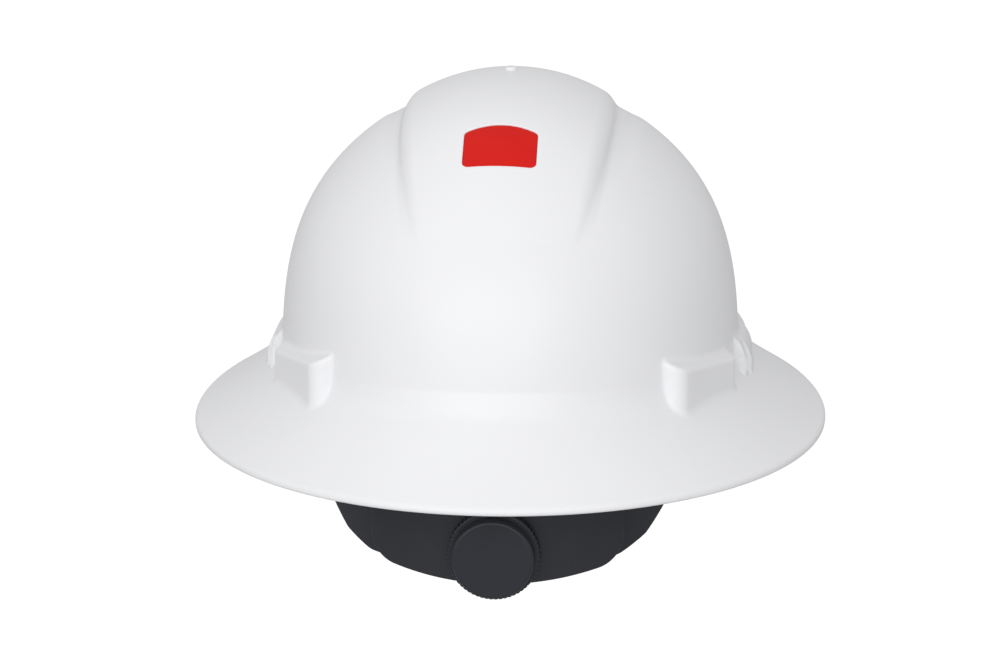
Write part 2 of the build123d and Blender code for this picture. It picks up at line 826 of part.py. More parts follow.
# Nape housing: a curved cover with two wings, a flat flange for the knob and rims towards the backplate
def wing_outline(margin):
    """Outline of the winged cover seen from behind, drawn in by a margin."""
    half_width = housing_half_width - margin
    top = housing_high - margin
    corner = (housing_corner_x - margin / 2, housing_corner_low + margin)
    bow = (housing_corner_bow_x - margin, housing_corner_bow_low + margin)
    with BuildSketch(Plane.XZ) as outline:
        with BuildLine():
            left_corner = (-half_width, top)
            Polyline((half_width, housing_end_low), (half_width, top), left_corner, (-half_width, housing_end_low))
            ThreePointArc((-half_width, housing_end_low), (-bow[0], bow[1]), (-corner[0], corner[1]))
            ThreePointArc((-corner[0], corner[1]), (0, housing_middle_low + margin), corner)
            ThreePointArc(corner, bow, (half_width, housing_end_low))
        make_face()
        fillet(outline.vertices().group_by(Axis.Y)[-1], radius=housing_top_radius - margin / 2)
    return outline.sketch


def nape_ring(inner_radius, outer_radius):
    """Ring round the nape centre, as tall as the cover."""
    with BuildPart() as ring:
        with BuildSketch(Plane.XY.offset(housing_middle_low - overrun)):
            with Locations((0, nape_centre)):
                Circle(outer_radius)
                Circle(inner_radius, mode=Mode.SUBTRACT)
        extrude(amount=housing_high - housing_middle_low + 2 * overrun)
    return ring.part


housing_outer = housing_inner + housing_wall
backplate_outer = backplate_inner + backplate_wall
cover_ring = nape_ring(housing_inner, housing_outer)
rim_ring = nape_ring(backplate_outer + seat_clearance, housing_inner + housing_wall / 2)
backplate_ring = nape_ring(backplate_inner, backplate_outer)
pad_ring = nape_ring(pad_inner, backplate_inner - part_clearance)
nape_reach = housing_outer - nape_centre + overrun
screw_heights = (housing_screw_low, housing_screw_high)
screw_places = [(x, z) for x in (-housing_screw_x, housing_screw_x) for z in screw_heights]
screw_sag = backplate_inner - sqrt(backplate_inner**2 - housing_screw_x**2)
screw_start = -nape_centre + backplate_inner - screw_sag

with BuildPart() as housing_rims:
    extrude(wing_outline(0), amount=nape_reach)
    add(rim_ring, mode=Mode.INTERSECT)
    with BuildSketch(Plane.XZ):
        with Locations((0, (rim_bottom_high + housing_high - rim_top_thickness) / 2)):
            Rectangle(2 * nape_reach, housing_high - rim_top_thickness - rim_bottom_high)
    extrude(amount=nape_reach, mode=Mode.SUBTRACT)
    with BuildSketch(Plane.XZ):
        Rectangle(2 * rim_half_span, 2 * nape_reach)
    extrude(amount=nape_reach, mode=Mode.INTERSECT)

with BuildPart() as nape_housing:
    extrude(wing_outline(0), amount=nape_reach)
    add(cover_ring, mode=Mode.INTERSECT)
    cover_face = nape_housing.faces().sort_by(Axis.Y)[0]
    fillet(cover_face.edges(), radius=housing_edge_radius)
    add(housing_rims.part)
    with BuildSketch(Plane.XZ.offset(-nape_centre + housing_inner + seat_clearance)):
        with Locations((0, knob_height)):
            Circle(flange_radius)
    extrude(amount=flange_face + nape_centre - housing_inner - seat_clearance)
    with BuildSketch(Plane.XZ):
        with Locations((0, knob_height)):
            Circle(shaft_radius + running_clearance)
    extrude(amount=nape_reach + overrun, mode=Mode.SUBTRACT)
    with BuildSketch(Plane.XZ.offset(screw_start)):
        with Locations(*screw_places):
            Circle(housing_screw_radius + running_clearance)
    extrude(amount=housing_screw_length + seat_clearance, mode=Mode.SUBTRACT)
nape_housing.part.label = "nape_housing"
export_step(nape_housing.part, "parts/nape_housing.step")

with BuildPart() as nape_backplate:
    extrude(wing_outline(backplate_margin), amount=nape_reach)
    add(backplate_ring, mode=Mode.INTERSECT)
    with BuildSketch(Plane.XZ):
        with Locations((0, knob_height)):
            Circle(journal_radius + running_clearance)
        with Locations(*screw_places):
            Circle(housing_screw_radius + seat_clearance)
    extrude(amount=nape_reach, mode=Mode.SUBTRACT)
    with BuildSketch(Plane.XZ.offset(screw_start - backplate_wall)):
        with Locations(*screw_places):
            Circle(housing_screw_head_radius + seat_clearance)
    extrude(amount=backplate_wall + housing_screw_head_thickness + seat_clearance, mode=Mode.SUBTRACT)
nape_backplate.part.label = "nape_backplate"
export_step(nape_backplate.part, "parts/nape_backplate.step")

with BuildPart() as housing_screws:
    with BuildSketch(Plane.XZ.offset(screw_start)):
        with Locations(*screw_places):
            Circle(housing_screw_head_radius)
    extrude(amount=housing_screw_head_thickness)
    with BuildSketch(Plane.XZ.offset(screw_start)):
        with Locations(*screw_places):
            Circle(housing_screw_radius)
    extrude(amount=housing_screw_length)
housing_screws.part.label = "housing_screws"
export_step(housing_screws.part, "parts/housing_screws.step")

with BuildPart() as nape_pad:
    extrude(wing_outline(pad_margin), amount=nape_reach)
    add(pad_ring, mode=Mode.INTERSECT)
nape_pad.part.label = "nape_pad"
export_step(nape_pad.part, "parts/nape_pad.step")

# Pinion: gear between the straps, a journal in the backplate, a shaft through the cover and a square drive
gear_start = -nape_centre + right_strap_radius - strap_thickness / 2 - part_clearance
gear_end = gear_start + pinion_width
journal_start = -nape_centre + backplate_inner + part_clearance
drive_end = knob_start + knob_depth - seat_clearance

with BuildPart() as pinion:
    with BuildSketch(Plane.XZ.offset(gear_start)):
        with Locations((0, knob_height)):
            Circle(root_radius)
            tooth_root = pitch_half_width + dedendum_share * gear_module * tooth_slope_share
            tooth_tip = pitch_half_width - addendum_share * gear_module * tooth_slope_share
            with PolarLocations(0, pinion_teeth, start_angle=90):
                Polygon(
                    (root_radius - seat_clearance, -tooth_root),
                    (tip_radius, -tooth_tip),
                    (tip_radius, tooth_tip),
                    (root_radius - seat_clearance, tooth_root),
                    align=None,
                )
    extrude(amount=pinion_width)
    with BuildSketch(Plane.XZ.offset(journal_start)):
        with Locations((0, knob_height)):
            Circle(journal_radius)
    extrude(amount=gear_start - journal_start)
    with BuildSketch(Plane.XZ.offset(gear_end)):
        with Locations((0, knob_height)):
            Circle(shaft_radius)
    extrude(amount=knob_start - gear_end)
    with BuildSketch(Plane.XZ.offset(knob_start)):
        with Locations((0, knob_height)):
            RegularPolygon(drive_radius, drive_sides)
    extrude(amount=drive_end - knob_start)
    with BuildSketch(Plane.XZ.offset(drive_end + overrun - screw_length)):
        with Locations((0, knob_height)):
            Circle(screw_radius + running_clearance)
    extrude(amount=screw_length, mode=Mode.SUBTRACT)
pinion.part.label = "pinion"
export_step(pinion.part, "parts/pinion.step")

# Knob: ribbed skirt, detent ring in its cavity and a raised seat for the cap
knob_end = knob_start + knob_depth
detent_tip = knob_cavity_radius - detent_depth

with BuildPart() as knob_blank:
    with BuildSketch(Plane.XZ.offset(knob_start)):
        with Locations((0, knob_height)):
            Circle(knob_radius)
    extrude(amount=knob_depth)
    fillet(knob_blank.edges(), radius=knob_edge_radius)

with BuildPart() as knob:
    with BuildSketch(Plane.XZ.offset(knob_start)):
        with Locations((0, knob_height)):
            Circle(knob_radius)
            with PolarLocations(knob_radius, knob_grip_count):
                Circle(knob_grip_radius, mode=Mode.SUBTRACT)
    extrude(amount=knob_depth)
    add(knob_blank.part, mode=Mode.INTERSECT)
    with BuildSketch(Plane.XZ.offset(knob_end)):
        with Locations((0, knob_height)):
            Circle(cap_radius - cap_wall - seat_clearance)
            Circle(screw_head_radius + part_clearance, mode=Mode.SUBTRACT)
    extrude(amount=cap_seat_height)
    with BuildSketch(Plane.XZ.offset(knob_start)):
        with Locations((0, knob_height)):
            Circle(knob_cavity_radius)
            Circle(shaft_radius + cap_wall, mode=Mode.SUBTRACT)
            with PolarLocations(knob_cavity_radius, detent_count):
                Rectangle(2 * detent_depth, detent_depth, rotation=45, mode=Mode.SUBTRACT)
    extrude(amount=knob_cavity_depth, mode=Mode.SUBTRACT)
    with BuildSketch(Plane.XZ.offset(knob_start)):
        with Locations((0, knob_height)):
            RegularPolygon(drive_radius + running_clearance, drive_sides)
    extrude(amount=knob_depth - seat_clearance, mode=Mode.SUBTRACT)
    with BuildSketch(Plane.XZ.offset(knob_start)):
        with Locations((0, knob_height)):
            Circle(screw_radius + running_clearance)
    extrude(amount=knob_depth, mode=Mode.SUBTRACT)
knob.part.label = "knob"
export_step(knob.part, "parts/knob.step")

with BuildPart() as knob_screw:
    with BuildSketch(Plane.XZ.offset(knob_end + seat_clearance)):
        with Locations((0, knob_height)):
            Circle(screw_head_radius)
    extrude(amount=screw_head_thickness)
    with BuildSketch(Plane.XZ.offset(knob_end + seat_clearance + screw_head_thickness - screw_length)):
        with Locations((0, knob_height)):
            Circle(screw_radius)
    extrude(amount=screw_length - screw_head_thickness)
knob_screw.part.label = "knob_screw"
export_step(knob_screw.part, "parts/knob_screw.step")

with BuildPart() as knob_cap:
    with BuildSketch(Plane.XZ.offset(knob_end + seat_clearance)):
        with Locations((0, knob_height)):
            Circle(cap_radius)
    extrude(amount=cap_depth)
    fillet(knob_cap.faces().sort_by(Axis.Y)[0].edges(), radius=cap_edge_radius)
    with BuildSketch(Plane.XZ.offset(knob_end + seat_clearance)):
        with Locations((0, knob_height)):
            Circle(cap_radius - cap_wall)
    extrude(amount=cap_depth - cap_wall, mode=Mode.SUBTRACT)
knob_cap.part.label = "knob_cap"
export_step(knob_cap.part, "parts/knob_cap.step")

# Detent spring: a leaf on the flange whose nose clicks past the knob's detent ring
nose_reach = detent_tip - part_clearance

with BuildPart() as detent_spring:
    with BuildSketch(Plane.XZ.offset(flange_face + seat_clearance)):
        with Locations((0, knob_height)):
            Circle(spring_radius + spring_thickness / 2)
            Circle(spring_radius - spring_thickness / 2, mode=Mode.SUBTRACT)
            with Locations((0, -spring_radius)):
                Rectangle(
                    2 * (spring_radius + spring_end_reach),
                    spring_radius * sin(radians(spring_half_angle)),
                    mode=Mode.SUBTRACT,
                )
            with Locations((0, (spring_radius + nose_reach) / 2)):
                Rectangle(spring_thickness, nose_reach - spring_radius)
    extrude(amount=spring_width)
detent_spring.part.label = "detent_spring"
export_step(detent_spring.part, "parts/detent_spring.step")
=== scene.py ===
"""Full brim hard hat in its photographed finish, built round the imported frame.

The moulded shell, its red window, the webbing, the stitches and the two pads are modelled here. The other
pieces of the frame keep their own shapes and get their finishes. The floor, the lights and the camera follow.
"""

import logging  # noqa: E402
import math  # noqa: E402
from dataclasses import dataclass  # noqa: E402
from enum import Enum  # noqa: E402
from typing import Callable, Optional, Sequence  # noqa: E402

import bmesh  # noqa: E402
import bpy  # noqa: E402
import numpy as np  # noqa: E402
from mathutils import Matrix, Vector  # noqa: E402


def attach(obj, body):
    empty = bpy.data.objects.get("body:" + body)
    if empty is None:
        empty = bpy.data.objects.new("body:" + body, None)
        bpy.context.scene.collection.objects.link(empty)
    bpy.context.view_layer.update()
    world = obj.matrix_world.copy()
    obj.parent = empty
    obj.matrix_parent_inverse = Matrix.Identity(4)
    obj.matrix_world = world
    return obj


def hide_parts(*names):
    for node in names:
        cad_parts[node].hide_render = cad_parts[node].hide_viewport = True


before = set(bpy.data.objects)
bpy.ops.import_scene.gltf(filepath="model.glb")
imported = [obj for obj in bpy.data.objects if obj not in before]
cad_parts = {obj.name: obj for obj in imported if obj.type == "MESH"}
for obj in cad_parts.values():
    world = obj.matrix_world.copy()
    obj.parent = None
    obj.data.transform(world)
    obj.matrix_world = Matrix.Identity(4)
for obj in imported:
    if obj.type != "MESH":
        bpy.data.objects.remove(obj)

log = logging.getLogger("hard_hat")

MM = 0.001
TINY = 1e-9
TINY_SQUARE = 1e-12
Field = Callable[[np.ndarray], np.ndarray]
Faces = list[Sequence[int]]
Pairs = tuple[tuple[float, float], ...]
Colour = tuple[float, float, float]
Values = dict[str | int, float | tuple[float, ...]]


class Body(Enum):
    """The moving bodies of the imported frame."""

    SHELL = "shell_assembly"
    HEADBAND = "headband"
    NAPE = "nape_unit"


class Slot(Enum):
    """The record's material slots of the modelled pieces."""

    SHELL = "shell_white"
    INDICATOR = "indicator_red"
    WEBBING = "webbing"
    BROW = "brow_foam"
    NAPE = "nape_charcoal"


class Change(Enum):
    """What a helper form does to the piece that it meets."""

    ADD = "UNION"
    CUT = "DIFFERENCE"


# Meshes


def new_mesh(name: str, points: np.ndarray, faces: Sequence[Sequence[int]]) -> bpy.types.Object:
    """Makes a mesh object from points in millimetres.

    Args:
        name: The object's name.
        points: One row of three coordinates for each point.
        faces: Point numbers of each face.

    Returns:
        The object, linked to the scene.
    """
    mesh = bpy.data.meshes.new(name)
    mesh.from_pydata((np.asarray(points, float) * MM).tolist(), [], [tuple(int(i) for i in f) for f in faces])
    mesh.update()
    made = bpy.data.objects.new(name, mesh)
    bpy.context.scene.collection.objects.link(made)
    return made


def read_values(
    items: bpy.types.bpy_prop_collection, name: str, width: int = 1, kind: type = float
) -> np.ndarray:
    """Reads one value of every item of a mesh.

    Args:
        items: The mesh's points, corners or faces.
        name: The value's name.
        width: How many numbers each item has.
        kind: The type of the numbers.

    Returns:
        One number, or one row of numbers, for each item.
    """
    values = np.empty(len(items) * width, kind)
    items.foreach_get(name, values)
    return values.reshape(-1, width) if width > 1 else values


def grid_faces(rows: int, columns: int, start: int = 0) -> Faces:
    """Quads between neighbouring closed rows of points.

    Args:
        rows: Number of rows.
        columns: Number of points in a row.
        start: Number of the first point.

    Returns:
        Four point numbers for each quad.
    """
    across = np.arange(columns)
    quads = []
    for row in range(rows - 1):
        low = start + row * columns
        nearer, further = low + across, low + (across + 1) % columns
        quads.append(np.stack([nearer, further, further + columns, nearer + columns], axis=1))
    return np.concatenate(quads).tolist()


def tube_faces(rows: int, columns: int, start: int = 0) -> Faces:
    """Faces of a tube of closed rows with a flat cap on each end.

    Args:
        rows: Number of rows.
        columns: Number of points in a row.
        start: Number of the first point.

    Returns:
        Point numbers of each face.
    """
    last = start + (rows - 1) * columns
    caps = [tuple(range(start, start + columns))[::-1], tuple(range(last, last + columns))]
    return grid_faces(rows, columns, start) + caps


def pole_faces(rows: int, columns: int) -> Faces:
    """Faces of closed rows that run to one point at each end; those two are numbered after the rows.

    Args:
        rows: Number of rows.
        columns: Number of points in a row.

    Returns:
        Point numbers of each face.
    """
    faces = grid_faces(rows, columns)
    last, pole = (rows - 1) * columns, rows * columns
    for column in range(columns):
        following = (column + 1) % columns
        faces.append((following, column, pole))
        faces.append((last + column, last + following, pole + 1))
    return faces


def turn_outwards(made: bpy.types.Object) -> None:
    """Makes all faces of closed forms face outwards.

    Args:
        made: The mesh object.
    """
    form = bmesh.new()
    form.from_mesh(made.data)
    bmesh.ops.recalc_face_normals(form, faces=list(form.faces))
    form.to_mesh(made.data)
    form.free()


def shade_by_angle(made: bpy.types.Object, degrees: float) -> None:
    """Smooths a mesh except at edges sharper than an angle.

    Args:
        made: The mesh object.
        degrees: The sharpest angle that stays smooth.
    """
    mesh = made.data
    mesh.polygons.foreach_set("use_smooth", np.ones(len(mesh.polygons), bool))
    mesh.set_sharp_from_angle(angle=math.radians(degrees))


def combine(made: bpy.types.Object, other: bpy.types.Object, change: Change) -> None:
    """Joins a helper form to a piece, or cuts it out, and removes the helper.

    Args:
        made: The piece.
        other: The helper, a closed form.
        change: Whether it is joined or cut out.
    """
    modifier = made.modifiers.new("change", "BOOLEAN")
    modifier.operation = change.value
    modifier.object = other
    modifier.solver = "MANIFOLD"
    solid = bpy.data.meshes.new_from_object(made.evaluated_get(bpy.context.evaluated_depsgraph_get()))
    made.modifiers.clear()
    made.data = solid
    bpy.data.objects.remove(other)


def dress(made: bpy.types.Object, finish: bpy.types.Material) -> None:
    """Gives an object one finish in place of any it has."""
    made.data.materials.clear()
    made.data.materials.append(finish)


def place(made: bpy.types.Object, body: Body, slot: Slot, *nodes: str) -> bpy.types.Object:
    """Puts a modelled piece on its body, in place of its frame nodes.

    Args:
        made: The piece.
        body: The body that carries it.
        slot: The record's slot for its finish; not used.
        nodes: The frame nodes that it stands for.

    Returns:
        The piece.
    """
    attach(made, body.value)
    if nodes:
        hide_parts(*nodes)
    log.info("%s: %d points on %s", made.name, len(made.data.vertices), body.value)
    return made


# Fields: a value is about the distance outside a form, in millimetres


def round_union(first: np.ndarray, second: np.ndarray, radius: np.ndarray | float) -> np.ndarray:
    """Joins two fields with a hollow fillet."""
    gap = np.hypot(np.maximum(radius - first, 0), np.maximum(radius - second, 0))
    return np.maximum(radius, np.minimum(first, second)) - gap


def round_overlap(first: np.ndarray, second: np.ndarray, radius: float) -> np.ndarray:
    """Keeps what two fields share, with a rounded edge."""
    gap = np.hypot(np.maximum(radius + first, 0), np.maximum(radius + second, 0))
    return np.minimum(-radius, np.maximum(first, second)) + gap


def egg_field(points: np.ndarray, centre: Sequence[float], half: np.ndarray) -> np.ndarray:
    """Distance outside an ellipsoid.

    Args:
        points: Points to measure.
        centre: Its centre.
        half: Its three half sizes.

    Returns:
        One distance for each point.
    """
    scaled = (points - np.array(centre)) / half
    reach = np.linalg.norm(scaled, axis=1) + TINY
    return (reach - 1) * reach / np.maximum(np.linalg.norm(scaled / half, axis=1), TINY)


def cone_field(
    points: np.ndarray, half_width: np.ndarray | float, half_length: np.ndarray | float, narrowing: float
) -> np.ndarray:
    """Distance outside an upright elliptical form whose sides may slope.

    Args:
        points: Points to measure.
        half_width: Half width of the ellipse at each point's height.
        half_length: Half length of the ellipse at each point's height.
        narrowing: How much both shrink for each millimetre of height.

    Returns:
        One distance for each point.
    """
    x, y = points[:, 0], points[:, 1]
    reach = np.sqrt((x / half_width) ** 2 + (y / half_length) ** 2) + TINY
    level = np.hypot(x / half_width**2, y / half_length**2) / reach
    rise = (x**2 / half_width**3 + y**2 / half_length**3) / reach * narrowing
    return (reach - 1) / np.hypot(level, rise)


def ellipse_reach(
    azimuth: np.ndarray, half_width: np.ndarray | float, half_length: np.ndarray | float
) -> np.ndarray:
    """Radius of a level ellipse in each direction."""
    return 1 / np.sqrt((np.cos(azimuth) / half_width) ** 2 + (np.sin(azimuth) / half_length) ** 2)


def ease(share: np.ndarray | float) -> np.ndarray | float:
    """Share from 0 to 1 that leaves and arrives gently."""
    return share * share * (3 - 2 * share)


def slope_of(values: Field, points: np.ndarray, step: float = 0.02) -> np.ndarray:
    """Direction in which a field grows.

    Args:
        values: The field.
        points: Where it is taken.
        step: How far from each point the field is read.

    Returns:
        One unit direction for each point.
    """
    grown = np.zeros_like(points)
    for axis in range(3):
        shift = np.zeros(3)
        shift[axis] = step
        grown[:, axis] = values(points + shift) - values(points - shift)
    return grown / np.maximum(np.linalg.norm(grown, axis=1), TINY_SQUARE)[:, None]


def settle(
    values: Field, start: np.ndarray, direction: np.ndarray, low: float, high: float, halvings: int = 34
) -> np.ndarray:
    """Distance along each direction at which a field passes through zero.

    Args:
        values: The field, negative inside.
        start: Where each search starts.
        direction: Unit direction of each search.
        low: A distance that is inside for every point.
        high: A distance that is outside for every point.
        halvings: How often the stretch in doubt is halved.

    Returns:
        One distance for each point.
    """
    near, far = np.full(len(start), low), np.full(len(start), high)
    for _ in range(halvings):
        middle = (near + far) / 2
        inside = values(start + direction * middle[:, None]) < 0
        near, far = np.where(inside, middle, near), np.where(inside, far, middle)
    return (near + far) / 2


# Finishes


def set_inputs(node: bpy.types.Node, values: Values) -> None:
    """Sets the values of a node's free inputs."""
    for label, value in values.items():
        node.inputs[label].default_value = value


def add_node(
    tree: bpy.types.NodeTree, kind: str, values: Optional[Values] = None, operation: str = ""
) -> bpy.types.Node:
    """Adds a node to a tree.

    Args:
        tree: Tree of a group or a material.
        kind: The node's type.
        values: Values of its free inputs.
        operation: What it works out, where its type has a choice.

    Returns:
        The node.
    """
    node = tree.nodes.new(kind)
    if operation:
        node.operation = operation
    set_inputs(node, values or {})
    return node


class Effects:
    """Shader node groups that several finishes share."""

    def __init__(self) -> None:
        """Builds each group once."""
        self.moulding = self._moulding()
        self.weave = self._weave()
        self.foam = self._foam()

    @staticmethod
    def _start(
        name: str, values: dict[str, float], outputs: Sequence[str], vectors: Sequence[str] = ()
    ) -> tuple[bpy.types.NodeTree, bpy.types.Node, bpy.types.Node]:
        """Makes an empty group with its sockets.

        Args:
            name: The group's name.
            values: Default value of each number that goes in.
            outputs: Names of the numbers that come out.
            vectors: Names of the vectors that go in.

        Returns:
            The group, its input node and its output node.
        """
        group = bpy.data.node_groups.new(name, "ShaderNodeTree")
        for label in vectors:
            group.interface.new_socket(name=label, in_out="INPUT", socket_type="NodeSocketVector")
        for label, value in values.items():
            socket = group.interface.new_socket(name=label, in_out="INPUT", socket_type="NodeSocketFloat")
            socket.default_value = value
        for label in outputs:
            group.interface.new_socket(name=label, in_out="OUTPUT", socket_type="NodeSocketFloat")
        return group, add_node(group, "NodeGroupInput"), add_node(group, "NodeGroupOutput")

    def _moulding(self) -> bpy.types.NodeTree:
        """Makes the fine grain, broad unevenness and light scuffs of moulded plastic.

        Returns:
            The group.
        """
        values = {"Grain Scale": 900.0, "Ripple Scale": 30.0, "Scuff Share": 0.1}
        group, given, result = self._start("moulded_surface", values, ("Height", "Mottle", "Scuffs"))
        grain_share, scuffs_per_ripple, scuff_level, scuff_full = 0.35, 2.5, 0.86, 0.9
        spot = add_node(group, "ShaderNodeTexCoord")
        grain = add_node(group, "ShaderNodeTexNoise", {"Detail": 3.0})
        ripple = add_node(group, "ShaderNodeTexNoise", {"Detail": 2.0})
        scuff = add_node(group, "ShaderNodeTexNoise", {"Detail": 6.0, "Roughness": 0.7, "Distortion": 1.4})
        scuff_scale = add_node(group, "ShaderNodeMath", {1: scuffs_per_ripple}, "MULTIPLY")
        level = add_node(group, "ShaderNodeMath", {0: scuff_level}, "SUBTRACT")
        marks = add_node(group, "ShaderNodeMapRange", {"From Max": scuff_full})
        blend = add_node(group, "ShaderNodeMath", {1: grain_share}, "MULTIPLY_ADD")
        for texture in (grain, ripple, scuff):
            group.links.new(spot.outputs["Object"], texture.inputs["Vector"])
        group.links.new(given.outputs["Grain Scale"], grain.inputs["Scale"])
        group.links.new(given.outputs["Ripple Scale"], ripple.inputs["Scale"])
        group.links.new(given.outputs["Ripple Scale"], scuff_scale.inputs[0])
        group.links.new(scuff_scale.outputs[0], scuff.inputs["Scale"])
        group.links.new(given.outputs["Scuff Share"], level.inputs[1])
        group.links.new(scuff.outputs["Fac"], marks.inputs["Value"])
        group.links.new(level.outputs[0], marks.inputs["From Min"])
        group.links.new(grain.outputs["Fac"], blend.inputs[0])
        group.links.new(ripple.outputs["Fac"], blend.inputs[2])
        group.links.new(blend.outputs[0], result.inputs["Height"])
        group.links.new(ripple.outputs["Fac"], result.inputs["Mottle"])
        group.links.new(marks.outputs["Result"], result.inputs["Scuffs"])
        return group

    def _weave(self) -> bpy.types.NodeTree:
        """Makes herringbone webbing, from a map whose units are millimetres along and across, with painted
        shade in its troughs.

        Returns:
            The group.
        """
        values = {"Pick": 1.0, "End": 1.0}
        group, given, result = self._start("webbing_weave", values, ("Height", "Shade"), ("Vector",))
        chevron_width, chevron_slant, end_share = 3.0, 4.2, 0.45

        def wave(
            source: bpy.types.NodeSocket,
            count: bpy.types.NodeSocket,
            shift: Optional[bpy.types.NodeSocket] = None,
        ) -> bpy.types.NodeSocket:
            """Makes a sine wave along a length.

            Args:
                source: The length.
                count: Radians for each millimetre.
                shift: Radians that are added.

            Returns:
                The wave's socket.
            """
            turn = add_node(group, "ShaderNodeMath", operation="MULTIPLY")
            group.links.new(source, turn.inputs[0])
            group.links.new(count, turn.inputs[1])
            last = turn.outputs[0]
            if shift is not None:
                moved = add_node(group, "ShaderNodeMath", operation="ADD")
                group.links.new(last, moved.inputs[0])
                group.links.new(shift, moved.inputs[1])
                last = moved.outputs[0]
            sine = add_node(group, "ShaderNodeMath", operation="SINE")
            group.links.new(last, sine.inputs[0])
            return sine.outputs[0]

        split = add_node(group, "ShaderNodeSeparateXYZ")
        zigzag = add_node(group, "ShaderNodeMath", {1: chevron_width}, "PINGPONG")
        slant = add_node(group, "ShaderNodeMath", {1: chevron_slant}, "MULTIPLY")
        both = add_node(group, "ShaderNodeMath", {1: end_share}, "MULTIPLY_ADD")
        shade = add_node(group, "ShaderNodeMapRange", {"From Min": -1 - end_share, "From Max": 1 + end_share})
        group.links.new(given.outputs["Vector"], split.inputs[0])
        group.links.new(split.outputs["Y"], zigzag.inputs[0])
        group.links.new(zigzag.outputs[0], slant.inputs[0])
        along = wave(split.outputs["X"], given.outputs["Pick"], slant.outputs[0])
        across = wave(split.outputs["Y"], given.outputs["End"])
        group.links.new(across, both.inputs[0])
        group.links.new(along, both.inputs[2])
        group.links.new(both.outputs[0], shade.inputs["Value"])
        # The same height also gives the colour: painted shade, darker in the weave's troughs.
        group.links.new(shade.outputs["Result"], result.inputs["Height"])
        group.links.new(shade.outputs["Result"], result.inputs["Shade"])
        return group

    def _foam(self) -> bpy.types.NodeTree:
        """Makes brushed cloth over foam, with a scatter of small pores that get painted shade over a random
        nap tone.

        Returns:
            The group.
        """
        values = {"Pore Scale": 900.0, "Nap Scale": 2500.0}
        group, given, result = self._start("brushed_foam", values, ("Height", "Shade"))
        pore_edge = 0.35
        spot = add_node(group, "ShaderNodeTexCoord")
        pores = add_node(group, "ShaderNodeTexVoronoi")
        nap = add_node(group, "ShaderNodeTexNoise", {"Detail": 4.0})
        depth = add_node(group, "ShaderNodeMapRange", {"From Max": pore_edge})
        joined = add_node(group, "ShaderNodeMath", operation="MULTIPLY")
        group.links.new(spot.outputs["Object"], pores.inputs["Vector"])
        group.links.new(spot.outputs["Object"], nap.inputs["Vector"])
        group.links.new(given.outputs["Pore Scale"], pores.inputs["Scale"])
        group.links.new(given.outputs["Nap Scale"], nap.inputs["Scale"])
        group.links.new(pores.outputs["Distance"], depth.inputs["Value"])
        group.links.new(depth.outputs["Result"], joined.inputs[0])
        group.links.new(nap.outputs["Fac"], joined.inputs[1])
        # The same value also gives the colour: painted shade in the pores, times the nap's random tone.
        group.links.new(joined.outputs[0], result.inputs["Height"])
        group.links.new(joined.outputs[0], result.inputs["Shade"])
        return group


def start_material(
    name: str, effect: bpy.types.NodeTree, values: Values
) -> tuple[bpy.types.Material, bpy.types.Node, bpy.types.Node]:
    """Makes a material that holds a shared effect.

    Args:
        name: The material's name.
        effect: The effect's group.
        values: The finish's own values for the effect.

    Returns:
        The material, its shader and the effect's node.
    """
    material = bpy.data.materials.new(name)
    material.use_nodes = True
    surface = add_node(material.node_tree, "ShaderNodeGroup")
    surface.node_tree = effect
    set_inputs(surface, values)
    return material, material.node_tree.nodes["Principled BSDF"], surface


def tint_surface(
    material: bpy.types.Material,
    share: bpy.types.NodeSocket,
    shader: bpy.types.Node,
    first: Colour,
    second: Colour,
) -> None:
    """Lets a mix of two colours feed a shader's colour.

    Args:
        material: The material that gets the node.
        share: Socket that gives the second colour's share.
        shader: The shader that gets the colour.
        first: Colour at 0.
        second: Colour at 1.
    """
    first_colour, second_colour, mixed_colour = 6, 7, 2
    mix = material.node_tree.nodes.new("ShaderNodeMix")
    mix.data_type = "RGBA"
    set_inputs(mix, {first_colour: (*first, 1.0), second_colour: (*second, 1.0)})
    material.node_tree.links.new(share, mix.inputs[0])
    material.node_tree.links.new(mix.outputs[mixed_colour], shader.inputs["Base Color"])


def raise_surface(
    material: bpy.types.Material,
    height: bpy.types.NodeSocket,
    shader: bpy.types.Node,
    strength: float,
    depth: float,
) -> None:
    """Lets a height feed a shader's normal through a bump node.

    Args:
        material: The material that gets the node.
        height: Socket that gives the height.
        shader: The shader that gets the normal.
        strength: How strongly the bump shows.
        depth: Depth of the bump in millimetres.
    """
    bump = add_node(material.node_tree, "ShaderNodeBump", {"Strength": strength, "Distance": depth * MM})
    material.node_tree.links.new(height, bump.inputs["Height"])
    material.node_tree.links.new(bump.outputs["Normal"], shader.inputs["Normal"])


@dataclass(frozen=True)
class MouldedFinish:
    """Moulded plastic, from glossy to matt; scales are counts for each metre."""

    name: str
    colour: Colour
    shade: Colour
    roughness: float
    rubbed: float
    scuff_share: float
    grain_scale: float
    ripple_scale: float
    strength: float
    depth: float
    specular: float = 0.5
    coat: float = 0.0
    coat_roughness: float = 0.1

    def build(self, effects: Effects) -> bpy.types.Material:
        """Makes the material from the moulding effect.

        Args:
            effects: The shared effects.

        Returns:
            The material.
        """
        scales = {"Grain Scale": self.grain_scale, "Ripple Scale": self.ripple_scale}
        values = {**scales, "Scuff Share": self.scuff_share}
        material, shader, surface = start_material(self.name, effects.moulding, values)
        tree = material.node_tree
        tint_surface(material, surface.outputs["Mottle"], shader, self.colour, self.shade)
        raise_surface(material, surface.outputs["Height"], shader, self.strength, self.depth)
        rough = add_node(tree, "ShaderNodeMapRange", {"To Min": self.roughness, "To Max": self.rubbed})
        tree.links.new(surface.outputs["Scuffs"], rough.inputs["Value"])
        tree.links.new(rough.outputs["Result"], shader.inputs["Roughness"])
        set_inputs(shader, {"Specular IOR Level": self.specular, "Coat Weight": self.coat})
        set_inputs(shader, {"Coat Roughness": self.coat_roughness})
        return material


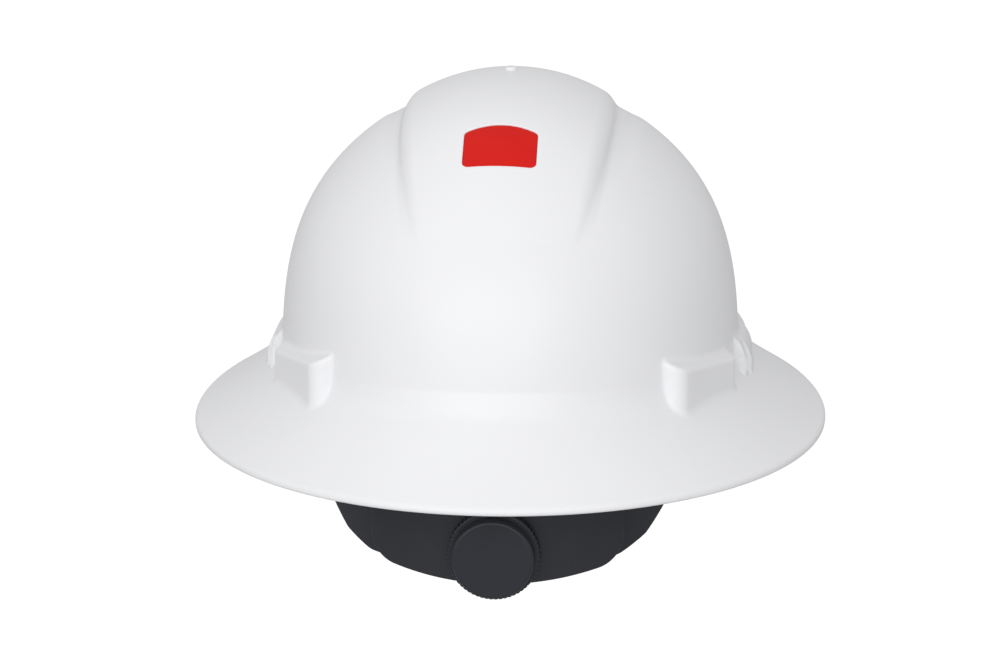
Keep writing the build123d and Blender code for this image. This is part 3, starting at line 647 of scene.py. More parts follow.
@dataclass(frozen=True)
class WebbingFinish:
    """Woven polyester webbing, in millimetres, with painted shade in the weave's troughs."""

    name: str = "webbing_black"
    colour: Colour = (0.035, 0.036, 0.04)
    # Colour of the painted shade in the weave's troughs.
    shade: Colour = (0.008, 0.008, 0.01)
    pick_pitch: float = 1.5
    end_pitch: float = 0.75
    strength: float = 0.8
    depth: float = 0.25
    roughness: float = 0.78
    sheen: float = 0.25
    sheen_roughness: float = 0.5

    def build(self, effects: Effects) -> bpy.types.Material:
        """Makes the material from the weave effect and the strap's own map.

        Args:
            effects: The shared effects.

        Returns:
            The material.
        """
        values = {"Pick": 2 * math.pi / self.pick_pitch, "End": 2 * math.pi / self.end_pitch}
        material, shader, surface = start_material(self.name, effects.weave, values)
        run = add_node(material.node_tree, "ShaderNodeUVMap")
        run.uv_map = "run"
        material.node_tree.links.new(run.outputs["UV"], surface.inputs["Vector"])
        # Painted shade: the weave's troughs take the darker colour.
        tint_surface(material, surface.outputs["Shade"], shader, self.shade, self.colour)
        raise_surface(material, surface.outputs["Height"], shader, self.strength, self.depth)
        set_inputs(shader, {"Roughness": self.roughness, "Sheen Weight": self.sheen})
        set_inputs(shader, {"Sheen Roughness": self.sheen_roughness})
        return material


@dataclass(frozen=True)
class FoamFinish:
    """Brushed cloth laminated on foam, with painted shade in its pores, in millimetres; the scale is a count
    for each metre.
    """

    name: str
    colour: Colour
    # Colour of the painted shade in the pores.
    shade: Colour
    pore_scale: float
    strength: float = 0.7
    depth: float = 0.3
    roughness: float = 0.9
    sheen: float = 0.4

    def build(self, effects: Effects) -> bpy.types.Material:
        """Makes the material from the foam effect.

        Args:
            effects: The shared effects.

        Returns:
            The material.
        """
        material, shader, surface = start_material(self.name, effects.foam, {"Pore Scale": self.pore_scale})
        # Painted shade: the pores take the darker colour, mottled by the nap.
        tint_surface(material, surface.outputs["Shade"], shader, self.shade, self.colour)
        raise_surface(material, surface.outputs["Height"], shader, self.strength, self.depth)
        set_inputs(shader, {"Roughness": self.roughness, "Sheen Weight": self.sheen})
        return material


@dataclass(frozen=True)
class SteelFinish:
    """Bright zinc-plated steel of the small fasteners and the spring."""

    name: str = "plated_steel"
    colour: Colour = (0.62, 0.62, 0.63)
    shade: Colour = (0.5, 0.5, 0.52)
    grain_scale: float = 3000.0
    strength: float = 0.2
    depth: float = 0.02
    roughness: float = 0.32

    def build(self, effects: Effects) -> bpy.types.Material:
        """Makes the material with fine marks from the moulding effect.

        Args:
            effects: The shared effects.

        Returns:
            The material.
        """
        values = {"Grain Scale": self.grain_scale}
        material, shader, surface = start_material(self.name, effects.moulding, values)
        tint_surface(material, surface.outputs["Mottle"], shader, self.colour, self.shade)
        raise_surface(material, surface.outputs["Height"], shader, self.strength, self.depth)
        set_inputs(shader, {"Metallic": 1.0, "Roughness": self.roughness})
        return material


# Shell


@dataclass(frozen=True)
class KeyPlace:
    """Where one suspension key plugs into the shell, in millimetres and degrees; the others mirror it."""

    x: float = 87.5
    y: float = 62.0
    turn: float = 25.7

    def middle(self) -> np.ndarray:
        """Middle of the key's place, level with the rim."""
        return np.array([self.x, self.y, 0.0])

    def away(self) -> np.ndarray:
        """Level direction out of the shell."""
        return np.array([math.cos(math.radians(self.turn)), math.sin(math.radians(self.turn)), 0.0])

    def along(self) -> np.ndarray:
        """Level direction along the key's width."""
        return np.array([-math.sin(math.radians(self.turn)), math.cos(math.radians(self.turn)), 0.0])


@dataclass(frozen=True)
class RowPlan:
    """How the rows of points run up one side of the shell's wall, in millimetres."""

    start_height: float
    edge_above: float
    edge_inset: float
    edge_rows: int
    slope_rows: int
    crown_rows: int


@dataclass
class ShellForm:
    """The moulded shell in millimetres: brim, crown, centre ridge, bosses, pockets and moulding mark."""

    rim_half_width: float = 140.4
    rim_half_length: float = 157.6
    rim_height: float = 3.0
    rim_land: float = 1.6
    rim_edge_radius: float = 1.3
    rim_foot_radius: float = 1.15
    rim_foot_rows: int = 4
    rim_bevel: float = 0.12
    rim_step: float = 0.2
    rim_face_height: float = 1.3
    rim_lift: float = 0.3
    rim_drop: float = 2.8
    brim_rise: float = 37.0
    brim_inner_half_width: float = 84.0
    brim_inner_half_length: float = 120.0
    brim_dip: float = 3.0
    brim_top_radius: float = 3.0
    brim_top_share: float = 1.25
    brim_fillet: float = 5.0
    crown_half_width: float = 101.3
    crown_half_length: float = 123.0
    crown_height: float = 150.0
    width_power: float = 1.44
    height_power: float = 3.75
    wall: float = 2.3
    ridge_centre: float = 55.0
    ridge_half_width: float = 99.0
    ridge_half_length: float = 115.7
    ridge_half_height: float = 100.0
    ridge_plan_width: float = 46.4
    ridge_plan_length: float = 136.0
    ridge_plan_height: float = 135.0
    ridge_draft: float = 0.14
    ridge_edge_radius: float = 5.0
    ridge_least_radius: float = 1.0
    roof_centre_y: float = -12.0
    roof_half_width: float = 89.5
    roof_half_length: float = 125.0
    roof_half_height: float = 99.0
    roof_radius: float = 5.0
    valley_low: float = 106.0
    valley_high: float = 138.0
    valley_radius: float = 1.6
    valley_reach: float = 4.0
    valley_least_share: float = 0.01
    crease_radius: float = 1.8
    groove_low: float = 114.0
    groove_depth: float = 1.3
    groove_floor: float = 4.5
    groove_slope: float = 6.5
    key: KeyPlace = KeyPlace()
    boss_half_length: float = 28.0
    boss_shift: float = 3.0
    boss_proud: float = 4.2
    boss_root: float = 5.6
    boss_height: float = 43.7
    boss_climb: float = 0.135
    boss_fall: float = 0.42
    boss_corner_radius: float = 7.0
    boss_edge_radius: float = 1.6
    boss_fillet: float = 1.8
    pocket_half_width: float = 15.5
    pocket_near: float = 0.2
    pocket_far: float = 2.8
    pocket_height: float = 36.0
    side_blocks: Pairs = ((24.0, 105.0), (15.0, 107.4))
    side_height: float = 38.0
    side_fall: float = 1.0
    side_end_radius: float = 1.0
    side_top_radius: float = 4.5
    side_fillet: float = 1.2
    slot_half_length: float = 13.0
    slot_inner: float = 101.7
    slot_outer: float = 105.1
    slot_height: float = 31.0
    cut_overrun: float = 5.0
    gate_radius: float = 2.5
    gate_top: float = 154.1
    gate_root: float = 2.0
    gate_bevel: float = 0.2
    gate_points: int = 32
    columns: int = 720
    skin_rows: RowPlan = RowPlan(1.9, 1.2, 1.9, edge_rows=16, slope_rows=56, crown_rows=210)
    lining_rows: RowPlan = RowPlan(0.35, 0.5, 0.5, edge_rows=4, slope_rows=24, crown_rows=84)
    slope_crowding: float = 0.12
    crown_crowding: float = 0.25
    search_near: float = 45.0
    search_far: float = 190.0
    smooth_angle: float = 32.0
    skin_tolerance: float = 0.02
    facing_share: float = 0.8

    def dome(self, points: np.ndarray, inset: float) -> np.ndarray:
        """Measures how far points are outside the crown's dome.

        Args:
            points: Points to measure.
            inset: How far the dome is drawn in.

        Returns:
            One distance for each point.
        """
        half_width, half_length = self.crown_half_width - inset, self.crown_half_length - inset
        height = self.crown_height - inset
        x, y = points[:, 0], points[:, 1]
        z = np.maximum(points[:, 2], 0) / height
        reach = np.sqrt((x / half_width) ** 2 + (y / half_length) ** 2) + TINY
        across = self.width_power * reach ** (self.width_power - 2)
        slopes = (across * x / half_width**2, across * y / half_length**2)
        rise = self.height_power * z ** (self.height_power - 1) / height
        level = reach**self.width_power + z**self.height_power - 1
        return level / np.sqrt(slopes[0] ** 2 + slopes[1] ** 2 + rise**2 + TINY_SQUARE)

    def ridge(self, points: np.ndarray, inset: float) -> np.ndarray:
        """Measures how far points are outside the centre ridge.

        Args:
            points: Points to measure.
            inset: How far the ridge is drawn in.

        Returns:
            One distance for each point.
        """
        half = np.array([self.ridge_half_width, self.ridge_half_length, self.ridge_half_height]) - inset
        cap = egg_field(points, (0, 0, self.ridge_centre), half)
        half = np.array([self.roof_half_width, self.roof_half_length, self.roof_half_height]) - inset
        roof = egg_field(points, (0, self.roof_centre_y, self.ridge_centre), half)
        cap = round_overlap(cap, roof, self.roof_radius)
        radius = max(self.ridge_edge_radius - inset, self.ridge_least_radius)
        return round_overlap(cap, self.ridge_side(points, inset), radius)

    def ridge_side(self, points: np.ndarray, inset: float) -> np.ndarray:
        """Measures how far points are outside the ridge's side walls.

        Args:
            points: Points to measure.
            inset: How far the walls are drawn in.

        Returns:
            One distance for each point.
        """
        spread = (self.ridge_plan_height - points[:, 2]) * self.ridge_draft - inset
        half_width, half_length = self.ridge_plan_width + spread, self.ridge_plan_length + spread
        return cone_field(points, half_width, half_length, self.ridge_draft)

    def groove(self, points: np.ndarray) -> np.ndarray:
        """Finds the depth of the flat groove along each side of the ridge, which fades out down the crown.

        Args:
            points: Points to measure.

        Returns:
            One depth for each point.
        """
        fade = np.clip((points[:, 2] - self.groove_low) / (self.valley_high - self.groove_low), 0, 1)
        slope = np.clip((self.ridge_side(points, 0) - self.groove_floor) / self.groove_slope, 0, 1)
        return self.groove_depth * ease(fade) * (1 - ease(slope))

    def rim_wave(self, points: np.ndarray) -> np.ndarray:
        """Finds how much the rim stands above its mean height: more at the front and back than at the sides.

        Args:
            points: Points to measure.

        Returns:
            One height for each point.
        """
        across = points[:, 0] ** 2 / (points[:, 0] ** 2 + points[:, 1] ** 2 + TINY)
        fade = np.clip(1 - points[:, 2] / self.brim_rise, 0, 1)
        return (self.rim_lift - (self.rim_lift + self.rim_drop) * across) * fade

    def brim(self, points: np.ndarray, inset: float) -> np.ndarray:
        """Measures how far points are outside the brim's upper slope, or its lower one with an inset.

        Args:
            points: Points to measure.
            inset: Zero for the upper slope; anything else for the lower one.

        Returns:
            One distance for each point.
        """
        rim_width, rim_length = self._rim(bool(inset))
        foot = 0.0 if inset else self.rim_height
        share = (points[:, 2] - self.rim_wave(points) - foot) / self.brim_rise
        share = np.minimum(share, self.brim_top_share)
        dip = 4 * self.brim_dip * share * (1 - share)
        run_x, run_y = rim_width - self.brim_inner_half_width, rim_length - self.brim_inner_half_length
        narrowing = (run_x + run_y) / 2 / self.brim_rise
        half_width, half_length = rim_width - run_x * share - dip, rim_length - run_y * share - dip
        slope = cone_field(points, half_width, half_length, narrowing)
        return round_overlap(slope, points[:, 2] - foot - self.brim_rise, self.brim_top_radius)

    def key_bosses(self, points: np.ndarray) -> np.ndarray:
        """Measures how far points are outside the nearest boss over a key's pocket.

        Args:
            points: Points to measure.

        Returns:
            One distance for each point.
        """
        flat = np.abs(points) - self.key.middle()
        along, out = flat @ self.key.along(), flat @ self.key.away()
        ends = np.abs(along - self.boss_shift) - self.boss_half_length
        sides = round_overlap(ends, out - self.boss_proud, self.boss_corner_radius)
        top = points[:, 2] - self.boss_height - self.boss_climb * along
        top = top + self.boss_fall * (out + self.boss_root)
        top = top / math.sqrt(1 + self.boss_climb**2 + self.boss_fall**2)
        return round_overlap(sides, top, self.boss_edge_radius)

    def side_bosses(self, points: np.ndarray) -> np.ndarray:
        """Measures how far points are outside the nearest stepped boss over an accessory slot.

        Args:
            points: Points to measure.

        Returns:
            One distance for each point.
        """
        x, y = np.abs(points[:, 0]), np.abs(points[:, 1])
        fall = (x - self.crown_half_width) * self.side_fall
        top = (points[:, 2] - self.side_height + fall) / math.hypot(1, self.side_fall)
        steps = []
        for half_length, reach in self.side_blocks:
            outer = round_overlap(x - reach, top, self.side_top_radius)
            steps.append(round_overlap(outer, y - half_length, self.side_end_radius))
        return np.minimum(steps[0], steps[1])

    def skin_field(self, points: np.ndarray) -> np.ndarray:
        """Measures how far points are outside the shell's outer skin.

        Args:
            points: Points to measure.

        Returns:
            One distance for each point.
        """
        share = np.clip((points[:, 2] - self.valley_low) / (self.valley_high - self.valley_low), 0, 1)
        soft = self.crease_radius + (self.valley_radius - self.crease_radius) * ease(share)
        soft = soft * np.clip(1 + self.ridge_side(points, 0) / self.valley_reach, self.valley_least_share, 1)
        crown = round_union(self.dome(points, 0) + self.groove(points), self.ridge(points, 0), soft)
        whole = round_union(crown, self.brim(points, 0), self.brim_fillet)
        whole = round_union(whole, self.key_bosses(points), self.boss_fillet)
        whole = round_union(whole, self.side_bosses(points), self.side_fillet)
        rim = cone_field(points, self.rim_half_width, self.rim_half_length, 0.0)
        return round_overlap(whole, rim, self.rim_edge_radius)

    def lining_field(self, points: np.ndarray) -> np.ndarray:
        """Distance outside the hollow under the shell's wall."""
        crown = round_union(self.dome(points, self.wall), self.ridge(points, self.wall), self.crease_radius)
        return round_union(crown, self.brim(points, self.wall), self.brim_fillet + self.wall)

    def _rim(self, lining: bool) -> tuple[float, float]:
        """Half width and half length of the rim, or of the lining's edge inside its land."""
        land = self.rim_land if lining else 0.0
        return self.rim_half_width - land, self.rim_half_length - land

    def _meeting(self, lining: bool, azimuth: np.ndarray, halvings: int = 30) -> np.ndarray:
        """Finds how steeply the line from the centre to the crease of brim and dome rises.

        Args:
            lining: Whether the inner side is meant.
            azimuth: Direction of each column.
            halvings: How often the stretch in doubt is halved.

        Returns:
            One angle for each column.
        """
        inset = self.wall if lining else 0.0
        foot = 0.0 if lining else self.rim_height
        rim_width, rim_length = self._rim(lining)
        run_x, run_y = rim_width - self.brim_inner_half_width, rim_length - self.brim_inner_half_length
        dome = ellipse_reach(azimuth, self.crown_half_width - inset, self.crown_half_length - inset)
        low, high = np.zeros(len(azimuth)), np.ones(len(azimuth))
        for _ in range(halvings):
            share = (low + high) / 2
            height = (foot + self.brim_rise * share) / (self.crown_height - inset)
            slope = ellipse_reach(azimuth, rim_width - run_x * share, rim_length - run_y * share)
            outside = slope > dome * (1 - height**self.height_power) ** (1 / self.width_power)
            low, high = np.where(outside, share, low), np.where(outside, high, share)
        return np.arctan2(foot + self.brim_rise * low, slope)

    def _rows(self, lining: bool, azimuth: np.ndarray) -> np.ndarray:
        """Points of one side of the wall, row by row from the rim to the top.

        Args:
            lining: Whether these are the rows of the inner side.
            azimuth: Direction of each column.

        Returns:
            An array of rows by columns by three coordinates.
        """
        values = self.lining_field if lining else self.skin_field
        plan = self.lining_rows if lining else self.skin_rows
        foot = 0.0 if lining else self.rim_height
        around = np.stack([np.cos(azimuth), np.sin(azimuth), 0 * azimuth], axis=1)
        rim = ellipse_reach(azimuth, *self._rim(lining))
        wave = self.rim_wave(around * rim[:, None])
        first = np.arctan2(wave + plan.start_height, rim)
        edge = np.arctan2(wave + foot + plan.edge_above, rim - plan.edge_inset)
        meeting = self._meeting(lining, azimuth)
        angles = [first + (edge - first) * share for share in np.linspace(0, 1, plan.edge_rows)]
        shares = np.linspace(0, 1, plan.slope_rows + 1)[1:]
        shares = shares - self.slope_crowding * np.sin(2 * np.pi * shares) / (2 * np.pi)
        angles += [edge + (meeting - edge) * share for share in shares]
        shares = np.linspace(0, 1, plan.crown_rows + 1)[1:-1]
        shares = shares * (1 - self.crown_crowding + self.crown_crowding * shares)
        angles += [meeting + (math.pi / 2 - meeting) * share for share in shares]
        tilt = np.stack(angles)[:, :, None]
        direction = (np.cos(tilt) * around + np.sin(tilt) * np.array([0, 0, 1])).reshape(-1, 3)
        found = settle(values, np.zeros_like(direction), direction, self.search_near, self.search_far)
        return (direction * found[:, None]).reshape(len(angles), len(azimuth), 3)

    def _rim_profile(self) -> list[tuple[float, float]]:
        """Finds the section of the rim's lower edge, from the lining to the skin.

        Returns:
            How far each row lies inside the rim, and its height.
        """
        foot, bevel = self.rim_foot_radius, self.rim_bevel
        profile = [(self.rim_land, bevel), (self.rim_land - bevel, 0.0)]
        profile += [(foot + self.rim_step, 0.0), (foot, 0.0)]
        turns = np.linspace(0, math.pi / 2, self.rim_foot_rows + 1)[1:]
        profile += [(foot * (1 - math.sin(turn)), foot * (1 - math.cos(turn))) for turn in turns]
        return profile + [(0.0, self.rim_face_height)]

    def wall_mesh(self) -> bpy.types.Object:
        """Builds the plain wall: skin, rim and lining in one closed mesh.

        Returns:
            The wall's object.
        """
        azimuth = np.linspace(0, 2 * np.pi, self.columns, endpoint=False)
        skin, lining = self._rows(False, azimuth), self._rows(True, azimuth)
        rim = ellipse_reach(azimuth, self.rim_half_width, self.rim_half_length)
        edge = np.stack([rim * np.cos(azimuth), rim * np.sin(azimuth), 0 * rim], axis=1)
        away = edge / np.array([self.rim_half_width, self.rim_half_length, 1]) ** 2
        away /= np.linalg.norm(away, axis=1)[:, None]
        wave, up = self.rim_wave(edge)[:, None], np.array([[0.0, 0.0, 1.0]])
        lower = [edge - away * inset + up * (wave + height) for inset, height in self._rim_profile()]
        stack = np.concatenate([lining[::-1], np.stack(lower), skin])
        near, far = self.search_near, self.search_far
        both = (self.lining_field, self.skin_field)
        poles = [up * settle(values, 0 * up, up, near, far) for values in both]
        points = np.concatenate([stack.reshape(-1, 3), *poles])
        return new_mesh("shell_skin", points, pole_faces(len(stack), self.columns))

    @staticmethod
    def _block(outline: Sequence[tuple[float, float]], low: float, high: float) -> np.ndarray:
        """Corners of a straight block: an outline at a low and at a high third coordinate."""
        return np.array([(x, y, z) for z in (low, high) for x, y in outline])

    def _pockets(self) -> bpy.types.Object:
        """Builds the blocks that cut the four key pockets and the two accessory slots.

        Returns:
            One helper object.
        """
        half, over, blocks = self.pocket_half_width, self.cut_overrun, []
        outline = [(-half, -over), (half, -over), (half, self.pocket_height), (-half, self.pocket_height)]
        pocket = self._block(outline, self.pocket_near, self.pocket_far)
        axes = np.stack([self.key.along(), np.array([0.0, 0.0, 1.0]), self.key.away()])
        for side_x in (1, -1):
            for side_y in (1, -1):
                blocks.append((pocket @ axes + self.key.middle()) * np.array([side_x, side_y, 1]))
        half, inner, outer = self.slot_half_length, self.slot_inner, self.slot_outer
        outline = [(inner, -half), (outer, -half), (outer, half), (inner, half)]
        blocks += [self._block(outline, -over, self.slot_height) * np.array([side, 1, 1]) for side in (1, -1)]
        faces = []
        for number, block in enumerate(blocks):
            faces += tube_faces(2, len(outline), start=number * len(block))
        made = new_mesh("pockets", np.concatenate(blocks), faces)
        turn_outwards(made)
        return made

    def _gate_mark(self) -> bpy.types.Object:
        """Builds the small round moulding mark at the very top.

        Returns:
            The helper object.
        """
        radius, bevel = self.gate_radius, self.gate_bevel
        turns = np.linspace(0, 2 * np.pi, self.gate_points, endpoint=False)
        around = np.stack([np.cos(turns), np.sin(turns), 0 * turns], axis=1)
        rings = [(radius, -self.gate_root), (radius, -bevel), (radius - bevel, 0.0)]
        rows = [around * reach + np.array([0, 0, self.gate_top + height]) for reach, height in rings]
        return new_mesh("gate_mark", np.concatenate(rows), tube_faces(len(rings), self.gate_points))

    def shade(self, made: bpy.types.Object) -> None:
        """Gives the skin and the lining the exact normals of their fields, and the rest its own.

        Args:
            made: The shell's object.
        """
        mesh = made.data
        shade_by_angle(made, self.smooth_angle)
        points = read_values(mesh.vertices, "co", 3) / MM
        normals = read_values(mesh.corner_normals, "vector", 3, np.float32).astype(float)
        owner = read_values(mesh.loops, "vertex_index", kind=np.int64)
        facing = read_values(mesh.polygons, "normal", 3)
        corners = read_values(mesh.polygons, "loop_total", kind=np.int64)
        face_of = np.repeat(np.arange(len(mesh.polygons)), corners)
        for values, side in ((self.skin_field, 1.0), (self.lining_field, -1.0)):
            near = np.abs(values(points)) < self.skin_tolerance
            slopes = np.zeros_like(points)
            slopes[near] = slope_of(values, points[near]) * side
            agreeing = np.einsum("ij,ij->i", slopes[owner], facing[face_of]) > self.facing_share
            whole = np.ones(len(mesh.polygons), bool)
            np.logical_and.at(whole, face_of, near[owner] & agreeing)
            chosen = whole[face_of]
            normals[chosen] = slopes[owner[chosen]]
        mesh.normals_split_custom_set(normals.tolist())

    def build(self, window: "IndicatorWindow", finish: bpy.types.Material) -> bpy.types.Object:
        """Builds the whole shell and puts it in place of its frame node.

        Args:
            window: The indicator, which cuts its own recess.
            finish: The shell's material.

        Returns:
            The shell's object.
        """
        made = self.wall_mesh()
        combine(made, self._gate_mark(), Change.ADD)
        combine(made, self._pockets(), Change.CUT)
        combine(made, window.cutter(self), Change.CUT)
        self.shade(made)
        dress(made, finish)
        return place(made, Body.SHELL, Slot.SHELL, "shell")


@dataclass
class IndicatorWindow:
    """The arched red window in its shallow recess, in millimetres and degrees.

    The lip and the face's edge are rows of margin round the window's outline and depth.
    """

    centre_reach: float = 71.0
    centre_height: float = 133.5
    tilt: float = 34.0
    half_width: float = 15.5
    low: float = -9.4
    shoulder: float = 10.4
    rise: float = 4.2
    corner: float = 2.7
    recess: float = 0.5
    thickness: float = 0.9
    clearance: float = 0.05
    lip_depth: float = 0.45
    lip: Pairs = ((0.12, 0.25), (0.35, 0.1), (0.75, 0.0), (3.0, -0.6), (3.0, -3.0))
    face_edge: Pairs = ((0.0, 0.3), (-0.1, 0.08), (-0.35, 0.0))
    back_bevel: float = 0.2
    corner_points: int = 9
    side_points: int = 9
    shoulder_points: int = 7
    arch_points: int = 27
    foot_points: int = 17
    rings: int = 12
    search_inside: float = -14.0
    search_outside: float = 10.0
    smooth_angle: float = 50.0

    def outline(self, margin: float) -> np.ndarray:
        """Finds the arched outline round the window.

        Args:
            margin: How far it is grown.

        Returns:
            Its points in the window's own plane.
        """
        arch = (self.half_width**2 + self.rise**2) / (2 * self.rise)
        arch_centre = self.shoulder + self.rise - arch
        inner = self.half_width - self.corner
        side_y = arch_centre + math.sqrt((arch - self.corner) ** 2 - inner**2)
        turn = math.atan2(side_y - arch_centre, inner)
        foot = self.low + self.corner

        def arc(
            x: float, y: float, radius: float, start: float, end: float, count: int
        ) -> list[tuple[float, float]]:
            """Points along an arc round a centre."""
            steps = np.linspace(start, end, count)
            return [(x + radius * math.cos(t), y + radius * math.sin(t)) for t in steps]

        radius, least = self.corner + margin, 1 / (self.side_points + 1)
        side = [
            (self.half_width + margin, foot + (side_y - foot) * share)
            for share in np.linspace(least, 1 - least, self.side_points)
        ]
        right = arc(inner, foot, radius, -math.pi / 2, 0, self.corner_points) + side
        right += arc(inner, side_y, radius, 0, turn, self.shoulder_points)
        top = arc(0, arch_centre, arch + margin, turn, math.pi - turn, self.arch_points)[1:-1]
        left = [(-x, y) for x, y in right[::-1]]
        lower = [(x, self.low - margin) for x in np.linspace(-inner, inner, self.foot_points)[1:-1]]
        return np.array(right + top + left + lower)

    def lay(self, shell: ShellForm, flat: np.ndarray, depth: float) -> np.ndarray:
        """Lays flat points on the shell's skin at a depth.

        Args:
            shell: The shell that carries the window.
            flat: Points in the window's own plane.
            depth: Depth below the skin; negative is above it.

        Returns:
            The points in the shell's frame.
        """
        tilt = math.radians(self.tilt)
        away = np.array([0, -math.sin(tilt), math.cos(tilt)])
        across, up = np.array([1.0, 0, 0]), np.array([0, math.cos(tilt), math.sin(tilt)])
        centre = np.array([0, -self.centre_reach, self.centre_height])
        start = centre + flat[:, :1] * across + flat[:, 1:] * up
        every = np.tile(away, (len(start), 1))
        found = settle(shell.skin_field, start, every, self.search_inside, self.search_outside)
        return start + away * (found - depth)[:, None]

    def solid(self, shell: ShellForm, name: str, levels: Sequence[tuple[float, float]]) -> bpy.types.Object:
        """Builds a closed piece from rings of margin and depth, bottom first.

        Args:
            shell: The shell that carries the window.
            name: The object's name.
            levels: Margin and depth of each ring.

        Returns:
            The object.
        """
        middle = np.array([[0.0, (self.low + self.shoulder + self.rise) / 2]])
        shares = [step / self.rings for step in range(1, self.rings)]
        (bottom_margin, bottom), (top_margin, top) = levels[0], levels[-1]
        reach = self.outline(bottom_margin) - middle
        rows = [self.lay(shell, middle + reach * share, bottom) for share in shares]
        rows += [self.lay(shell, self.outline(margin), depth) for margin, depth in levels]
        reach = self.outline(top_margin) - middle
        rows += [self.lay(shell, middle + reach * share, top) for share in shares[::-1]]
        ends = [self.lay(shell, middle, bottom), self.lay(shell, middle, top)]
        return new_mesh(name, np.concatenate(rows + ends), pole_faces(len(rows), len(rows[0])))

    def cutter(self, shell: ShellForm) -> bpy.types.Object:
        """Builds the form that cuts the recess with its softened lip.

        Args:
            shell: The shell that carries the window.

        Returns:
            The helper object.
        """
        deep = self.recess + self.thickness + self.clearance
        levels = [(self.clearance, deep), (self.clearance, self.lip_depth), *self.lip]
        return self.solid(shell, "recess", levels)

    def build(self, shell: ShellForm, finish: bpy.types.Material) -> bpy.types.Object:
        """Builds the red window and puts it in place of its frame node.

        Args:
            shell: The shell that carries the window.
            finish: The window's material.

        Returns:
            The window's object.
        """
        deep, bevel = self.recess + self.thickness, self.back_bevel
        levels = [(-bevel, deep), (0.0, deep - bevel)]
        levels += [(margin, self.recess + depth) for margin, depth in self.face_edge]
        made = self.solid(shell, "indicator_window", levels)
        shade_by_angle(made, self.smooth_angle)
        dress(made, finish)
        return place(made, Body.SHELL, Slot.INDICATOR, "uv_indicator")


# Suspension


def run_lengths(points: np.ndarray) -> np.ndarray:
    """Length of a chain of points up to each of them."""
    return np.concatenate([[0], np.cumsum(np.linalg.norm(np.diff(points, axis=0), axis=1))])


def at_lengths(wanted: np.ndarray | float, run: np.ndarray, values: np.ndarray) -> np.ndarray:
    """Coordinates at wanted lengths along a chain whose own lengths are known."""
    return np.stack([np.interp(wanted, run, values[:, i]) for i in range(3)], axis=-1)


